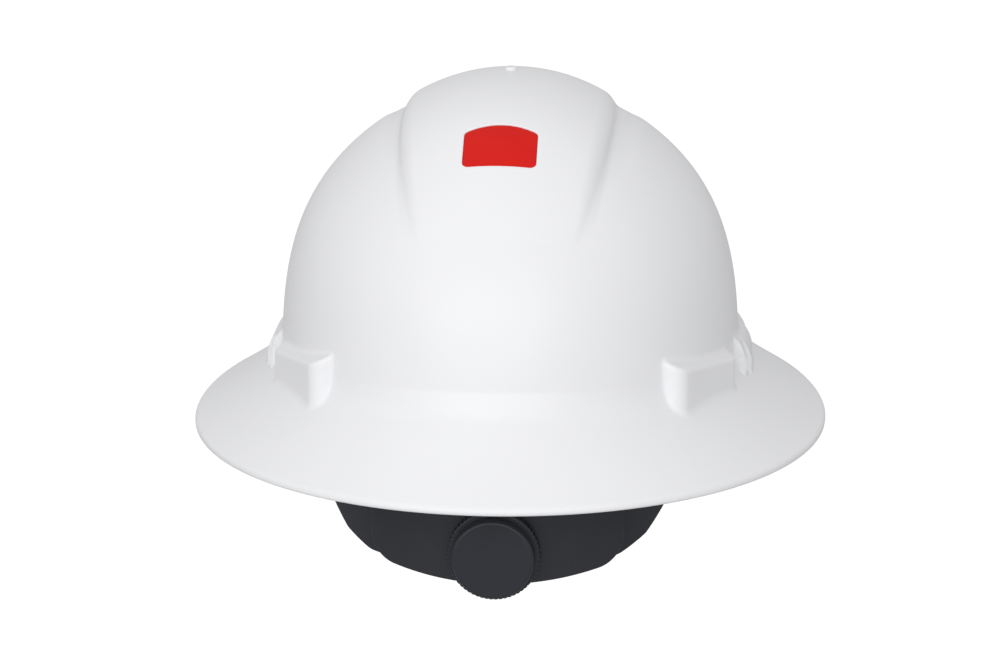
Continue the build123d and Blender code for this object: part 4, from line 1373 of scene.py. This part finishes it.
@dataclass
class CrownWebbing:
    """Two crossing straps, each sewn round the bars of two opposite keys, in millimetres and degrees."""

    key: KeyPlace = KeyPlace()
    bar_inset: float = 8.2
    bar_height: float = 36.0
    loop_radius: float = 2.7
    loop_length: float = 7.5
    loop_start: float = 178.0
    loop_end: float = 387.0
    loop_points: int = 22
    arch_base: float = 20.0
    arch_height: float = 98.0
    arch_points: int = 70
    crossing_step: float = 2.3
    width: float = 19.0
    thickness: float = 1.3
    edge_width: float = 0.5
    edge_round: float = 0.1
    edge_share: float = 0.4
    face_points: int = 11
    ply_offset: float = 0.8
    sewn_share: float = 0.125
    tail_share: float = 1.08
    tail_points: int = 12
    first_share: float = 0.004
    step: float = 1.4
    smooth_angle: float = 50.0
    stitch_half_width: float = 6.4
    stitch_near: float = 2.2
    stitch_far: float = 14.6
    stitch_pitch: float = 2.7
    stitch_length: float = 2.0
    stitch_radius: float = 0.27
    stitch_shares: tuple[tuple[float, float, float], ...] = (
        (-1.0, -0.6, 0.3), (-0.7, 0.1, 0.9), (0.0, 0.35, 1.0), (0.7, 0.1, 0.9), (1.0, -0.6, 0.3)
    )  # fmt: skip
    stitch_sides: int = 6
    stitch_smooth_angle: float = 60.0

    def _arch(self, height: float, share: float, offset: float) -> tuple[np.ndarray, np.ndarray]:
        """Finds one place on a strap's arch.

        Args:
            height: Height of the arch.
            share: How far up the half arch the place is, from its key to the top.
            offset: How far it is moved outwards.

        Returns:
            The point and the direction across the strap.
        """
        bar = self.key.middle() - self.key.away() * self.bar_inset
        diagonal, turn = math.atan2(bar[1], bar[0]), math.radians(self.key.turn)
        arch_reach = math.hypot(bar[0], bar[1])
        arch_reach /= math.sqrt(1 - ((self.bar_height - self.arch_base) / height) ** 2)
        first = math.asin((self.bar_height + self.loop_length - self.arch_base) / height)
        at = first + (math.pi / 2 - first) * share
        outwards = np.array([math.cos(diagonal), math.sin(diagonal), 0.0])
        up = np.array([0.0, 0.0, 1.0])
        climb = outwards * arch_reach * math.cos(at) + up * height * math.sin(at)
        run = up * math.cos(at) * height / arch_reach - outwards * math.sin(at)
        run /= np.linalg.norm(run)
        width_turn = turn + (diagonal - turn) * share
        across = np.array([-math.sin(width_turn), math.cos(width_turn), 0.0])
        across -= run * across.dot(run)
        across /= np.linalg.norm(across)
        away = np.cross(across, run)
        away *= np.sign(away.dot(climb))
        return climb + up * self.arch_base + away * offset, across

    def _half(self, height: float) -> tuple[list[np.ndarray], list[np.ndarray], list[bool]]:
        """Finds the centre line of one half of a strap, from its sewn tail round the key's bar to the top.

        Args:
            height: Height of the strap's arch.

        Returns:
            The points, the unit directions across, and whether each point is on the arch's outer ply.
        """
        places, outer = [], []
        for share in np.linspace(self.sewn_share * self.tail_share, self.first_share, self.tail_points):
            places.append(self._arch(height, share, -self.ply_offset))
            outer.append(False)
        for angle in np.radians(np.linspace(self.loop_start, self.loop_end, self.loop_points)):
            out = self.key.away() * (self.loop_radius * math.cos(angle) - self.bar_inset)
            up = np.array([0, 0, self.bar_height + self.loop_radius * math.sin(angle)])
            places.append((self.key.middle() + out + up, self.key.along()))
            outer.append(False)
        for share in np.linspace(self.first_share, 1, self.arch_points):
            fade = np.clip((share - self.sewn_share) / self.sewn_share, 0, 1)
            places.append(self._arch(height, share, self.ply_offset * (1 - ease(fade))))
            outer.append(True)
        return [point for point, _ in places], [across for _, across in places], outer

    def _path(self, height: float, side: int) -> tuple[np.ndarray, np.ndarray, np.ndarray]:
        """Finds the centre line of a whole strap at even steps.

        Args:
            height: Height of the strap's arch.
            side: 1, or -1 for the strap that crosses the other way.

        Returns:
            The points, the directions across and the length up to each point.
        """
        points, acrosses, _ = self._half(height)
        points += [point * np.array([-1.0, -1.0, 1.0]) for point in points[-2::-1]]
        acrosses += [across * np.array([1.0, 1.0, -1.0]) for across in acrosses[-2::-1]]
        points, acrosses = np.array(points), np.array(acrosses)
        run = run_lengths(points)
        even = np.linspace(0, run[-1], int(run[-1] / self.step) + 1)
        flip = np.array([side, 1.0, 1.0])
        return at_lengths(even, run, points) * flip, at_lengths(even, run, acrosses) * flip, even

    def _section(self) -> np.ndarray:
        """Finds the strap's section, a flat band with rounded edges.

        Returns:
            Places across and through the strap.
        """
        half, edge, lip = self.width / 2, self.thickness / 2, self.edge_share * self.thickness / 2
        flat = np.linspace(half - self.edge_width, self.edge_width - half, self.face_points)
        top, bottom = [(a, edge) for a in flat], [(a, -edge) for a in flat[::-1]]
        left = [(self.edge_round - half, lip), (-half, 0.0), (self.edge_round - half, -lip)]
        right = [(half - self.edge_round, -lip), (half, 0.0), (half - self.edge_round, lip)]
        return np.array(top + left + bottom + right)

    def strap(self, name: str, height: float, side: int, finish: bpy.types.Material) -> bpy.types.Object:
        """Builds one strap with a map along its run, in millimetres.

        Args:
            name: The object's name.
            height: Height of the strap's arch.
            side: 1, or -1 for the strap that crosses the other way.
            finish: The strap's material.

        Returns:
            The strap's object.
        """
        points, acrosses, even = self._path(height, side)
        runs = np.gradient(points, axis=0)
        runs /= np.linalg.norm(runs, axis=1)[:, None]
        acrosses -= runs * np.einsum("ij,ij->i", acrosses, runs)[:, None]
        acrosses /= np.linalg.norm(acrosses, axis=1)[:, None]
        normals = np.cross(acrosses, runs)
        section = self._section()
        rows = points[:, None] + acrosses[:, None] * section[None, :, :1]
        rows = rows + normals[:, None] * section[None, :, 1:]
        columns = len(section)
        made = new_mesh(name, rows.reshape(-1, 3), tube_faces(len(rows), columns))
        owner = read_values(made.data.loops, "vertex_index", kind=np.int64)
        flat = np.stack([even[owner // columns], section[owner % columns, 0] + self.width / 2], axis=1)
        made.data.uv_layers.new(name="run").data.foreach_set("uv", flat.astype(np.float32).ravel())
        shade_by_angle(made, self.smooth_angle)
        dress(made, finish)
        return made

    def _stitch(
        self,
        rows: list[np.ndarray],
        faces: Faces,
        spot: np.ndarray,
        heading: np.ndarray,
        away: np.ndarray,
        side: int,
    ) -> None:
        """Adds one short thread, which dips at its ends, at both ends of a strap.

        Args:
            rows: Points so far, which get the new ones.
            faces: Faces so far, which get the new ones.
            spot: Middle of the stitch.
            heading: Direction of the thread.
            away: Direction out of the strap's face.
            side: 1, or -1 for the strap that crosses the other way.
        """
        beside = np.cross(heading, away)
        for turn in (1.0, -1.0):
            faces += tube_faces(len(self.stitch_shares), self.stitch_sides, start=len(rows))
            for along, lift, girth in self.stitch_shares:
                for number in range(self.stitch_sides):
                    angle = 2 * math.pi * number / self.stitch_sides
                    offset = (beside * math.cos(angle) + away * math.sin(angle)) * girth + away * lift
                    point = spot + heading * along * self.stitch_length / 2 + offset * self.stitch_radius
                    rows.append(point * np.array([side * turn, turn, 1.0]))

    def stitches(self, finish: bpy.types.Material) -> bpy.types.Object:
        """Builds the crossed box of stitches at each sewn end, on both faces.

        Args:
            finish: The thread's material.

        Returns:
            The stitches' object.
        """
        rows, faces = [], []
        wide, near, far = self.stitch_half_width, self.stitch_near, self.stitch_far
        low_left, low_right, high_right, high_left = (-wide, near), (wide, near), (wide, far), (-wide, far)
        box = [(low_left, low_right), (low_right, high_right)]
        box += [(high_right, high_left), (high_left, low_left)]
        lines = box + [(low_left, high_right), (low_right, high_left)]
        face_offsets = (self.thickness / 2, -2 * self.ply_offset - self.thickness / 2)
        for height, side in ((self.arch_height, 1), (self.arch_height + self.crossing_step, -1)):
            points, acrosses, outer = self._half(height)
            centre, across = np.array(points)[np.array(outer)], np.array(acrosses)[np.array(outer)]
            run = run_lengths(centre)
            for start, end in lines:
                length = math.dist(start, end)
                count = max(int(length / self.stitch_pitch), 1)
                sideways, onwards = (np.array(end) - np.array(start)) / length
                for number in range(count):
                    middle = (number + 0.5) / count
                    aside, along = np.array(start) + (np.array(end) - np.array(start)) * middle
                    spot = at_lengths(along, run, centre)
                    ahead = at_lengths(along + 1, run, centre) - spot
                    ahead /= np.linalg.norm(ahead)
                    beside = at_lengths(along, run, across)
                    beside -= ahead * beside.dot(ahead)
                    beside /= np.linalg.norm(beside)
                    away = np.cross(beside, ahead)
                    away *= np.sign(away.dot(spot - np.array([0, 0, self.arch_base])))
                    heading = beside * sideways + ahead * onwards
                    for offset in face_offsets:
                        self._stitch(rows, faces, spot + beside * aside + away * offset, heading, away, side)
        made = new_mesh("webbing_stitches", np.array(rows), faces)
        shade_by_angle(made, self.stitch_smooth_angle)
        dress(made, finish)
        return place(made, Body.SHELL, Slot.WEBBING)

    def build(self, finish: bpy.types.Material, thread: bpy.types.Material) -> None:
        """Builds both straps and their stitches.

        Args:
            finish: The straps' material.
            thread: The stitches' material.
        """
        lower = self.strap("webbing_lower", self.arch_height, 1, finish)
        upper = self.strap("webbing_upper", self.arch_height + self.crossing_step, -1, finish)
        place(lower, Body.SHELL, Slot.WEBBING, "crown_strap_lower")
        place(upper, Body.SHELL, Slot.WEBBING, "crown_strap_upper")
        self.stitches(thread)


@dataclass(frozen=True)
class Swelling:
    """How a cloth simulation swells a pad between its seams; the cap is in millimetres."""

    cap: float
    pressure: float = 9.0
    quality: int = 6
    mass: float = 0.05
    stiffness: float = 12.0
    bending: float = 0.3
    frames: int = 12

    def run(self, made: bpy.types.Object, held: np.ndarray) -> None:
        """Swells a pad and keeps the result in its mesh.

        Args:
            made: The pad.
            held: How firmly each point stays where it is, from 0 to 1.
        """
        rest = read_values(made.data.vertices, "co", 3)
        group = made.vertex_groups.new(name="held")
        for level in np.unique(held):
            group.add(np.flatnonzero(held == level).tolist(), float(level), "REPLACE")
        cloth = made.modifiers.new("cloth", "CLOTH")
        settings = cloth.settings
        settings.quality = self.quality
        settings.mass = self.mass
        settings.tension_stiffness = settings.compression_stiffness = self.stiffness
        settings.bending_stiffness = self.bending
        settings.vertex_group_mass = "held"
        settings.use_pressure = True
        settings.uniform_pressure_force = self.pressure
        settings.effector_weights.gravity = 0.0
        cloth.collision_settings.use_collision = False
        scene = bpy.context.scene
        for step in range(1, self.frames + 1):
            scene.frame_set(step)
        shaped = made.evaluated_get(bpy.context.evaluated_depsgraph_get())
        travel = read_values(shaped.to_mesh().vertices, "co", 3) - rest
        shaped.to_mesh_clear()
        made.modifiers.clear()
        scene.frame_set(1)
        size = np.linalg.norm(travel, axis=1)
        log.info("%s swelled by up to %.2f mm", made.name, size.max() / MM)
        limit = np.minimum(1, self.cap * MM / np.maximum(size, TINY))
        made.data.vertices.foreach_set("co", (rest + travel * limit[:, None]).ravel())
        made.vertex_groups.clear()
        made.data.update()


@dataclass
class BrowPad:
    """The sweatband folded round the headband's front edge, with its quilted channels.

    Sizes are in millimetres and degrees. The bend is points of the section. The crests are radii with heights
    from the tops of the lip and the pad.
    """

    centre_y: float = 16.0
    half_angle: float = 49.6
    face_radius: float = 78.7
    back_radius: float = 81.8
    lip_inner: float = 84.4
    lip_outer: float = 85.7
    top: float = 20.6
    lip_top: float = 2.7
    fold: float = -11.3
    channel: float = -8.5
    face_top_gap: float = 1.4
    bend_gap: float = 1.8
    lip_gap: float = 0.9
    inner_gap: float = 1.2
    channel_gaps: tuple[float, float] = (0.5, 0.4)
    back_top_gap: float = 1.0
    bend: Pairs = (
        (79.1, -10.5), (80.0, -11.2), (81.5, -11.35), (83.2, -11.35), (84.6, -11.2), (85.4, -10.5)
    )  # fmt: skip
    lip_crest: Pairs = ((85.4, -0.2), (84.9, 0.0), (84.5, -0.4))
    top_crest: Pairs = ((81.3, -0.2), (80.3, 0.0), (79.3, -0.4))
    channel_radii: tuple[float, ...] = (84.1, 83.1, 82.0)
    face_points: int = 20
    lip_points: int = 8
    inner_points: int = 6
    back_points: int = 16
    channels: int = 9
    channel_depth: float = 1.5
    seam_angle: float = 0.5
    edge_seam_drop: float = 3.6
    edge_seam_width: float = 0.8
    edge_seam_share: float = 0.7
    end_shares: tuple[float, ...] = (0.25, 0.65, 0.9)
    slab_reach: float = 82.1
    firm_level: float = 0.5
    columns: int = 163
    swelling: Swelling = Swelling(cap=0.8)
    smooth_angle: float = 60.0
    fill: float = 0.6

    def _section(self) -> np.ndarray:
        """Finds the pad's section, from the top of its face down, round the fold and back up.

        Returns:
            Radius and height of each point; the face's points come first.
        """

        def straight(radius: float, start: float, end: float, count: int) -> list[tuple[float, float]]:
            """Points at one radius between two heights."""
            return [(radius, height) for height in np.linspace(start, end, count)]

        low, high = self.fold + self.bend_gap, self.lip_top
        inside, outside = (self.channel + gap for gap in self.channel_gaps)
        section = straight(self.face_radius, self.top - self.face_top_gap, low, self.face_points)
        section += self.bend
        section += straight(self.lip_outer, low, high - self.lip_gap, self.lip_points)
        section += [(radius, high + rise) for radius, rise in self.lip_crest]
        section += straight(self.lip_inner, high - self.inner_gap, inside, self.inner_points)
        section += [(radius, self.channel) for radius in self.channel_radii]
        section += straight(self.back_radius, outside, self.top - self.back_top_gap, self.back_points)
        return np.array(section + [(radius, self.top + rise) for radius, rise in self.top_crest])

    def _ring(self, section: np.ndarray, number: int, angle: float) -> tuple[np.ndarray, np.ndarray]:
        """Finds the points of one column, drawn in at the seams and squeezed at the pad's ends.

        Args:
            section: The pad's section.
            number: Number of the column.
            angle: Its direction in degrees.

        Returns:
            The points, and how firmly each is held.
        """
        spacing = 2 * self.half_angle / self.channels
        seam = abs((angle / spacing + 0.5) % 1 - 0.5) * spacing
        close = math.exp(-((seam / self.seam_angle) ** 2))
        on_face = np.arange(len(section)) < self.face_points
        edge_height = self.top - self.edge_seam_drop
        edge_seam = np.exp(-(((section[:, 1] - edge_height) / self.edge_seam_width) ** 2))
        radius, height = section[:, 0].copy(), section[:, 1]
        radius[on_face] += self.channel_depth * np.maximum(close, self.edge_seam_share * edge_seam[on_face])
        held = np.where(on_face, np.maximum(close, edge_seam) > self.firm_level, True).astype(float)
        end = min(number, self.columns - 1 - number)
        if end < len(self.end_shares):
            slab = (section[:, 0] < self.slab_reach) & (height > self.channel)
            middle = (self.face_radius + self.back_radius) / 2
            radius[slab] = middle + (radius[slab] - middle) * self.end_shares[end]
            held = np.ones(len(section))
        turn = math.radians(angle)
        ring = np.stack([radius * math.sin(turn), self.centre_y + radius * math.cos(turn), height], axis=1)
        return ring, held

    def build(self, finish: bpy.types.Material) -> bpy.types.Object:
        """Builds the sweatband, swells it between its seams and puts it on the headband.

        Args:
            finish: The sweatband's material.

        Returns:
            The sweatband's object.
        """
        section = self._section()
        angles = np.linspace(-self.half_angle, self.half_angle, self.columns)
        rings = [self._ring(section, number, angle) for number, angle in enumerate(angles)]
        points = np.concatenate([ring for ring, _ in rings])
        made = new_mesh("brow_sweatband", points, tube_faces(len(rings), len(section)))
        turn_outwards(made)
        self.swelling.run(made, np.concatenate([held for _, held in rings]))
        shade_by_angle(made, self.smooth_angle)
        dress(made, finish)
        place(made, Body.HEADBAND, Slot.BROW, "brow_pad")
        return made


def height_on_arc(
    x: float, first: tuple[float, float], middle: tuple[float, float], last: tuple[float, float]
) -> float:
    """Height at x of the arc through three points, on the middle point's side.

    Args:
        x: Where the height is wanted.
        first: The arc's start.
        middle: A point on its way.
        last: Its end.

    Returns:
        The height.
    """
    (x1, y1), (x2, y2), (x3, y3) = first, middle, last
    area = 2 * (x1 * (y2 - y3) + x2 * (y3 - y1) + x3 * (y1 - y2))
    s1, s2, s3 = x1**2 + y1**2, x2**2 + y2**2, x3**2 + y3**2
    cx = (s1 * (y2 - y3) + s2 * (y3 - y1) + s3 * (y1 - y2)) / area
    cy = (s1 * (x3 - x2) + s2 * (x1 - x3) + s3 * (x2 - x1)) / area
    radius = math.hypot(x1 - cx, y1 - cy)
    return cy + math.copysign(math.sqrt(max(radius**2 - (x - cx) ** 2, 0)), y2 - cy)


@dataclass
class NapePad:
    """The soft pad inside the nape mechanism, in millimetres."""

    centre_y: float = -16.0
    inner_radius: float = 78.3
    outer_radius: float = 82.1
    half_width: float = 49.0
    high: float = -19.0
    end_low: float = -28.0
    bow: tuple[float, float] = (46.2, -32.6)
    corner: tuple[float, float] = (41.5, -37.3)
    middle_low: float = -41.8
    top_radius: float = 4.0
    end_margin: float = 0.3
    edge_margin: float = 0.2
    edge_width: float = 2.2
    edge_fill: float = 0.1
    worn_fill: float = 0.85
    back_fill: float = 0.9
    groove_inset: float = 4.5
    groove_width: float = 0.9
    groove_depth: float = 0.8
    sewn_width: float = 1.0
    firm_level: float = 0.6
    columns: int = 72
    layers: int = 18
    swelling: Swelling = Swelling(cap=0.7)
    smooth_angle: float = 60.0
    fill: float = 0.6

    def low_edge(self, x: float) -> float:
        """Finds the height of the pad's lower edge.

        Args:
            x: Distance from the pad's middle.

        Returns:
            The height.
        """
        if abs(x) <= self.corner[0]:
            other = (-self.corner[0], self.corner[1])
            return height_on_arc(abs(x), other, (0, self.middle_low), self.corner)
        return height_on_arc(abs(x), self.corner, self.bow, (self.half_width, self.end_low))

    def high_edge(self, x: float) -> float:
        """Height of the pad's upper edge, whose corners are rounded."""
        past = max(0.0, abs(x) - (self.half_width - self.top_radius))
        return self.high - self.top_radius + math.sqrt(max(self.top_radius**2 - past**2, 0.0))

    def _spot(self, x: float, share: float, worn: bool) -> tuple[tuple[float, float, float], float]:
        """Finds one point of the pad's worn side or of its back.

        Args:
            x: Distance from the pad's middle.
            share: How far up it is between the two edges.
            worn: Whether it is on the side that touches the head.

        Returns:
            The point, and how firmly it is held.
        """
        low, high = self.low_edge(x) + self.edge_margin, self.high_edge(x) - self.edge_margin
        middle = (self.inner_radius + self.outer_radius) / 2
        spread = (self.outer_radius - self.inner_radius) / 2
        rim = min(min(share, 1 - share) * (high - low), self.half_width - abs(x))
        full = 1 - math.exp(-((rim / self.edge_width) ** 2))
        groove = math.exp(-(((rim - self.groove_inset) / self.groove_width) ** 2)) if worn else 0.0
        fill = self.back_fill * full + self.edge_fill
        if worn:
            fill = -(self.worn_fill * full + self.edge_fill)
        radius = middle + spread * fill + groove * self.groove_depth
        turn = math.asin(x / middle)
        height = low + (high - low) * share
        firm = not worn or rim < self.sewn_width or groove > self.firm_level
        return (radius * math.sin(turn), self.centre_y - radius * math.cos(turn), height), float(firm)

    def _faces(self) -> Faces:
        """Finds the faces of the worn side, of the back and of the edge that joins them.

        Returns:
            Point numbers of each face.
        """
        columns, layers, back = self.columns, self.layers, self.columns * self.layers
        faces = []
        for column in range(columns - 1):
            for layer in range(layers - 1):
                a = column * layers + layer
                faces.append((a, a + layers, a + layers + 1, a + 1))
                faces.append((a + 1 + back, a + layers + 1 + back, a + layers + back, a + back))
        edge = list(range(layers))
        edge += [column * layers + layers - 1 for column in range(1, columns)]
        edge += [(columns - 1) * layers + layer for layer in range(layers - 2, -1, -1)]
        edge += [column * layers for column in range(columns - 2, 0, -1)]
        return faces + [(a, b, b + back, a + back) for a, b in zip(edge, edge[1:] + edge[:1])]

    def build(self, finish: bpy.types.Material) -> bpy.types.Object:
        """Builds the pad with its sewn edge, swells it and puts it on the nape mechanism.

        Args:
            finish: The pad's material.

        Returns:
            The pad's object.
        """
        shares = np.linspace(0, 1, self.layers)
        across = np.sin(np.linspace(-1, 1, self.columns) * math.pi / 2) * (self.half_width - self.end_margin)
        spots = [self._spot(x, share, worn) for worn in (True, False) for x in across for share in shares]
        made = new_mesh("nape_cushion", np.array([point for point, _ in spots]), self._faces())
        turn_outwards(made)
        self.swelling.run(made, np.array([held for _, held in spots]))
        shade_by_angle(made, self.smooth_angle)
        dress(made, finish)
        place(made, Body.NAPE, Slot.NAPE, "nape_pad")
        return made


# Studio


@dataclass(frozen=True)
class SoftBox:
    """One soft box, in metres and watts."""

    name: str
    at: tuple[float, float, float]
    size: tuple[float, float]
    power: float

    def build(self, aim: Vector) -> None:
        """Adds the lamp.

        Args:
            aim: The place that it faces.
        """
        data = bpy.data.lights.new(self.name, "AREA")
        data.shape = "RECTANGLE"
        data.size, data.size_y = self.size
        data.energy = self.power
        made = bpy.data.objects.new(self.name, data)
        bpy.context.scene.collection.objects.link(made)
        made.location = self.at
        made.rotation_mode = "QUATERNION"
        made.rotation_quaternion = (Vector(self.at) - aim).to_track_quat("Z", "Y")


@dataclass
class Studio:
    """Pale floor, soft light and the camera of the photograph, in metres, millimetres of film and degrees."""

    distance: float = 1.6
    azimuth: float = 3.7
    elevation: float = 16.9
    lens: float = 128.6
    sensor: float = 36.0
    shift_x: float = -0.0108
    shift_y: float = 0.0731
    view_limit: float = 50.0
    floor_height: float = -0.06
    floor_half: float = 6.0
    surroundings: float = 0.65
    bounce: float = 0.43
    seen_white: float = 1.05
    aim_height: float = 0.06
    boxes: tuple[SoftBox, ...] = (
        SoftBox("box_front", (-0.25, -2.4, 0.5), (3.5, 2.2), 47.0),
        SoftBox("box_above", (-0.3, 0.2, 1.8), (1.2, 1.0), 1.5),
    )

    def camera(self) -> None:
        """Places the camera at the photograph's angle."""
        data = bpy.data.cameras.new("camera")
        data.lens = self.lens
        data.sensor_width = self.sensor
        data.shift_x, data.shift_y = self.shift_x, self.shift_y
        data.clip_end = self.view_limit
        made = bpy.data.objects.new("camera", data)
        bpy.context.scene.collection.objects.link(made)
        turn, rise = math.radians(self.azimuth), math.radians(self.elevation)
        back = Vector((math.sin(turn) * math.cos(rise), -math.cos(turn) * math.cos(rise), math.sin(rise)))
        made.location = back * self.distance
        made.rotation_mode = "QUATERNION"
        made.rotation_quaternion = (-back).to_track_quat("-Z", "Y")
        bpy.context.scene.camera = made

    def _strength(self, tree: bpy.types.NodeTree, unseen: float) -> bpy.types.NodeSocket:
        """Makes a brightness that is white to the camera and lower for the light on the hat.

        Args:
            tree: The tree that gets the nodes.
            unseen: The lower brightness.

        Returns:
            The brightness's socket.
        """
        ray = add_node(tree, "ShaderNodeLightPath")
        level = add_node(tree, "ShaderNodeMapRange", {"To Min": unseen, "To Max": self.seen_white})
        tree.links.new(ray.outputs["Is Camera Ray"], level.inputs["Value"])
        return level.outputs["Result"]

    def floor(self) -> None:
        """Lays a plain white floor under the hat."""
        half, height = self.floor_half, self.floor_height
        corners = [(-half, -half, height), (half, -half, height), (half, half, height), (-half, half, height)]
        made = new_mesh("floor", np.array(corners) / MM, [(0, 1, 2, 3)])
        material = bpy.data.materials.new("floor_white")
        material.use_nodes = True
        tree = material.node_tree
        tree.nodes.remove(tree.nodes["Principled BSDF"])
        glow = add_node(tree, "ShaderNodeEmission")
        tree.links.new(self._strength(tree, self.bounce), glow.inputs["Strength"])
        tree.links.new(glow.outputs["Emission"], tree.nodes["Material Output"].inputs["Surface"])
        dress(made, material)

    def surround(self) -> None:
        """Sets the pale surroundings."""
        world = bpy.data.worlds.new("surroundings")
        world.use_nodes = True
        bpy.context.scene.world = world
        sky = world.node_tree.nodes["Background"]
        set_inputs(sky, {"Color": (1.0, 1.0, 1.0, 1.0)})
        world.node_tree.links.new(self._strength(world.node_tree, self.surroundings), sky.inputs["Strength"])

    def build(self) -> None:
        """Builds the surroundings, the lights, the camera and the floor."""
        bpy.context.scene.view_settings.view_transform = "Standard"
        self.surround()
        for box in self.boxes:
            box.build(Vector((0, 0, self.aim_height)))
        self.camera()
        self.floor()
        log.info("studio with %d soft boxes", len(self.boxes))


# Finishes and assembly


@dataclass(frozen=True)
class HatFinishes:
    """Every finish of the hat."""

    shell: MouldedFinish = MouldedFinish(
        name="shell_gloss_white",
        colour=(0.865, 0.868, 0.888),
        shade=(0.845, 0.848, 0.868),
        roughness=0.4,
        rubbed=0.46,
        scuff_share=0.04,
        grain_scale=700.0,
        ripple_scale=22.0,
        strength=0.06,
        depth=0.02,
        specular=0.4,
        coat=0.08,
        coat_roughness=0.36,
    )
    indicator: MouldedFinish = MouldedFinish(
        name="indicator_satin_red",
        colour=(0.7, 0.011, 0.007),
        shade=(0.64, 0.009, 0.006),
        roughness=0.5,
        rubbed=0.58,
        scuff_share=0.05,
        grain_scale=1200.0,
        ripple_scale=60.0,
        strength=0.1,
        depth=0.02,
        specular=0.14,
    )
    key: MouldedFinish = MouldedFinish(
        name="key_black_nylon",
        colour=(0.026, 0.026, 0.028),
        shade=(0.019, 0.019, 0.021),
        roughness=0.42,
        rubbed=0.6,
        scuff_share=0.1,
        grain_scale=1500.0,
        ripple_scale=60.0,
        strength=0.25,
        depth=0.04,
        specular=0.35,
    )
    band: MouldedFinish = MouldedFinish(
        name="band_grey_plastic",
        colour=(0.115, 0.118, 0.125),
        shade=(0.095, 0.098, 0.105),
        roughness=0.45,
        rubbed=0.6,
        scuff_share=0.1,
        grain_scale=1400.0,
        ripple_scale=40.0,
        strength=0.25,
        depth=0.04,
    )
    nape: MouldedFinish = MouldedFinish(
        name="nape_charcoal_plastic",
        colour=(0.029, 0.0305, 0.0375),
        shade=(0.0225, 0.0235, 0.0295),
        roughness=0.42,
        rubbed=0.58,
        scuff_share=0.12,
        grain_scale=1500.0,
        ripple_scale=45.0,
        strength=0.3,
        depth=0.05,
        specular=0.3,
    )
    knob: MouldedFinish = MouldedFinish(
        name="knob_slate_plastic",
        colour=(0.0255, 0.028, 0.0365),
        shade=(0.019, 0.0215, 0.028),
        roughness=0.34,
        rubbed=0.52,
        scuff_share=0.14,
        grain_scale=1500.0,
        ripple_scale=45.0,
        strength=0.25,
        depth=0.04,
        specular=0.35,
    )
    thread: MouldedFinish = MouldedFinish(
        name="stitch_thread",
        colour=(0.045, 0.046, 0.05),
        shade=(0.03, 0.03, 0.034),
        roughness=0.7,
        rubbed=0.8,
        scuff_share=0.1,
        grain_scale=4000.0,
        ripple_scale=200.0,
        strength=0.4,
        depth=0.05,
    )
    # The webbing's shade colour is painted shade in the weave's troughs.
    webbing: WebbingFinish = WebbingFinish()
    # The cloths' shade colours are painted shade in the pores.
    brow: FoamFinish = FoamFinish(
        name="brow_black_cloth", colour=(0.05, 0.05, 0.054), shade=(0.012, 0.012, 0.014), pore_scale=600.0
    )
    nape_pad: FoamFinish = FoamFinish(
        name="nape_black_cloth", colour=(0.045, 0.045, 0.05), shade=(0.012, 0.012, 0.014), pore_scale=450.0
    )
    steel: SteelFinish = SteelFinish()


NODE_FINISHES: dict[str, tuple[str, ...]] = {
    "key": ("key_front_left", "key_front_right", "key_rear_left", "key_rear_right"),
    "band": ("headband",),
    "nape": ("nape_housing", "nape_backplate", "nape_strap_left", "nape_strap_right"),
    "knob": ("knob", "knob_cap", "pinion"),
    "steel": ("knob_screw", "detent_spring", "housing_screws"),
}


def finish_frame_nodes(finishes: HatFinishes, effects: Effects) -> None:
    """Dresses the frame nodes that keep their own shapes.

    Args:
        finishes: The hat's finishes.
        effects: The shared effects.
    """
    for finish_name, names in NODE_FINISHES.items():
        material = getattr(finishes, finish_name).build(effects)
        for name in names:
            dress(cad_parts[name], material)
        log.info("%s finish on %s", finish_name, ", ".join(names))


def main() -> None:
    """Builds the hat from the shell inwards, then the studio."""
    logging.basicConfig(level=logging.INFO, format="%(message)s")
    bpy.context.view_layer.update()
    effects, finishes = Effects(), HatFinishes()
    finish_frame_nodes(finishes, effects)
    shell, window = ShellForm(), IndicatorWindow()
    shell.build(window, finishes.shell.build(effects))
    window.build(shell, finishes.indicator.build(effects))
    CrownWebbing().build(finishes.webbing.build(effects), finishes.thread.build(effects))
    BrowPad().build(finishes.brow.build(effects))
    NapePad().build(finishes.nape_pad.build(effects))
    Studio().build()


if __name__ == "__main__":
    main()
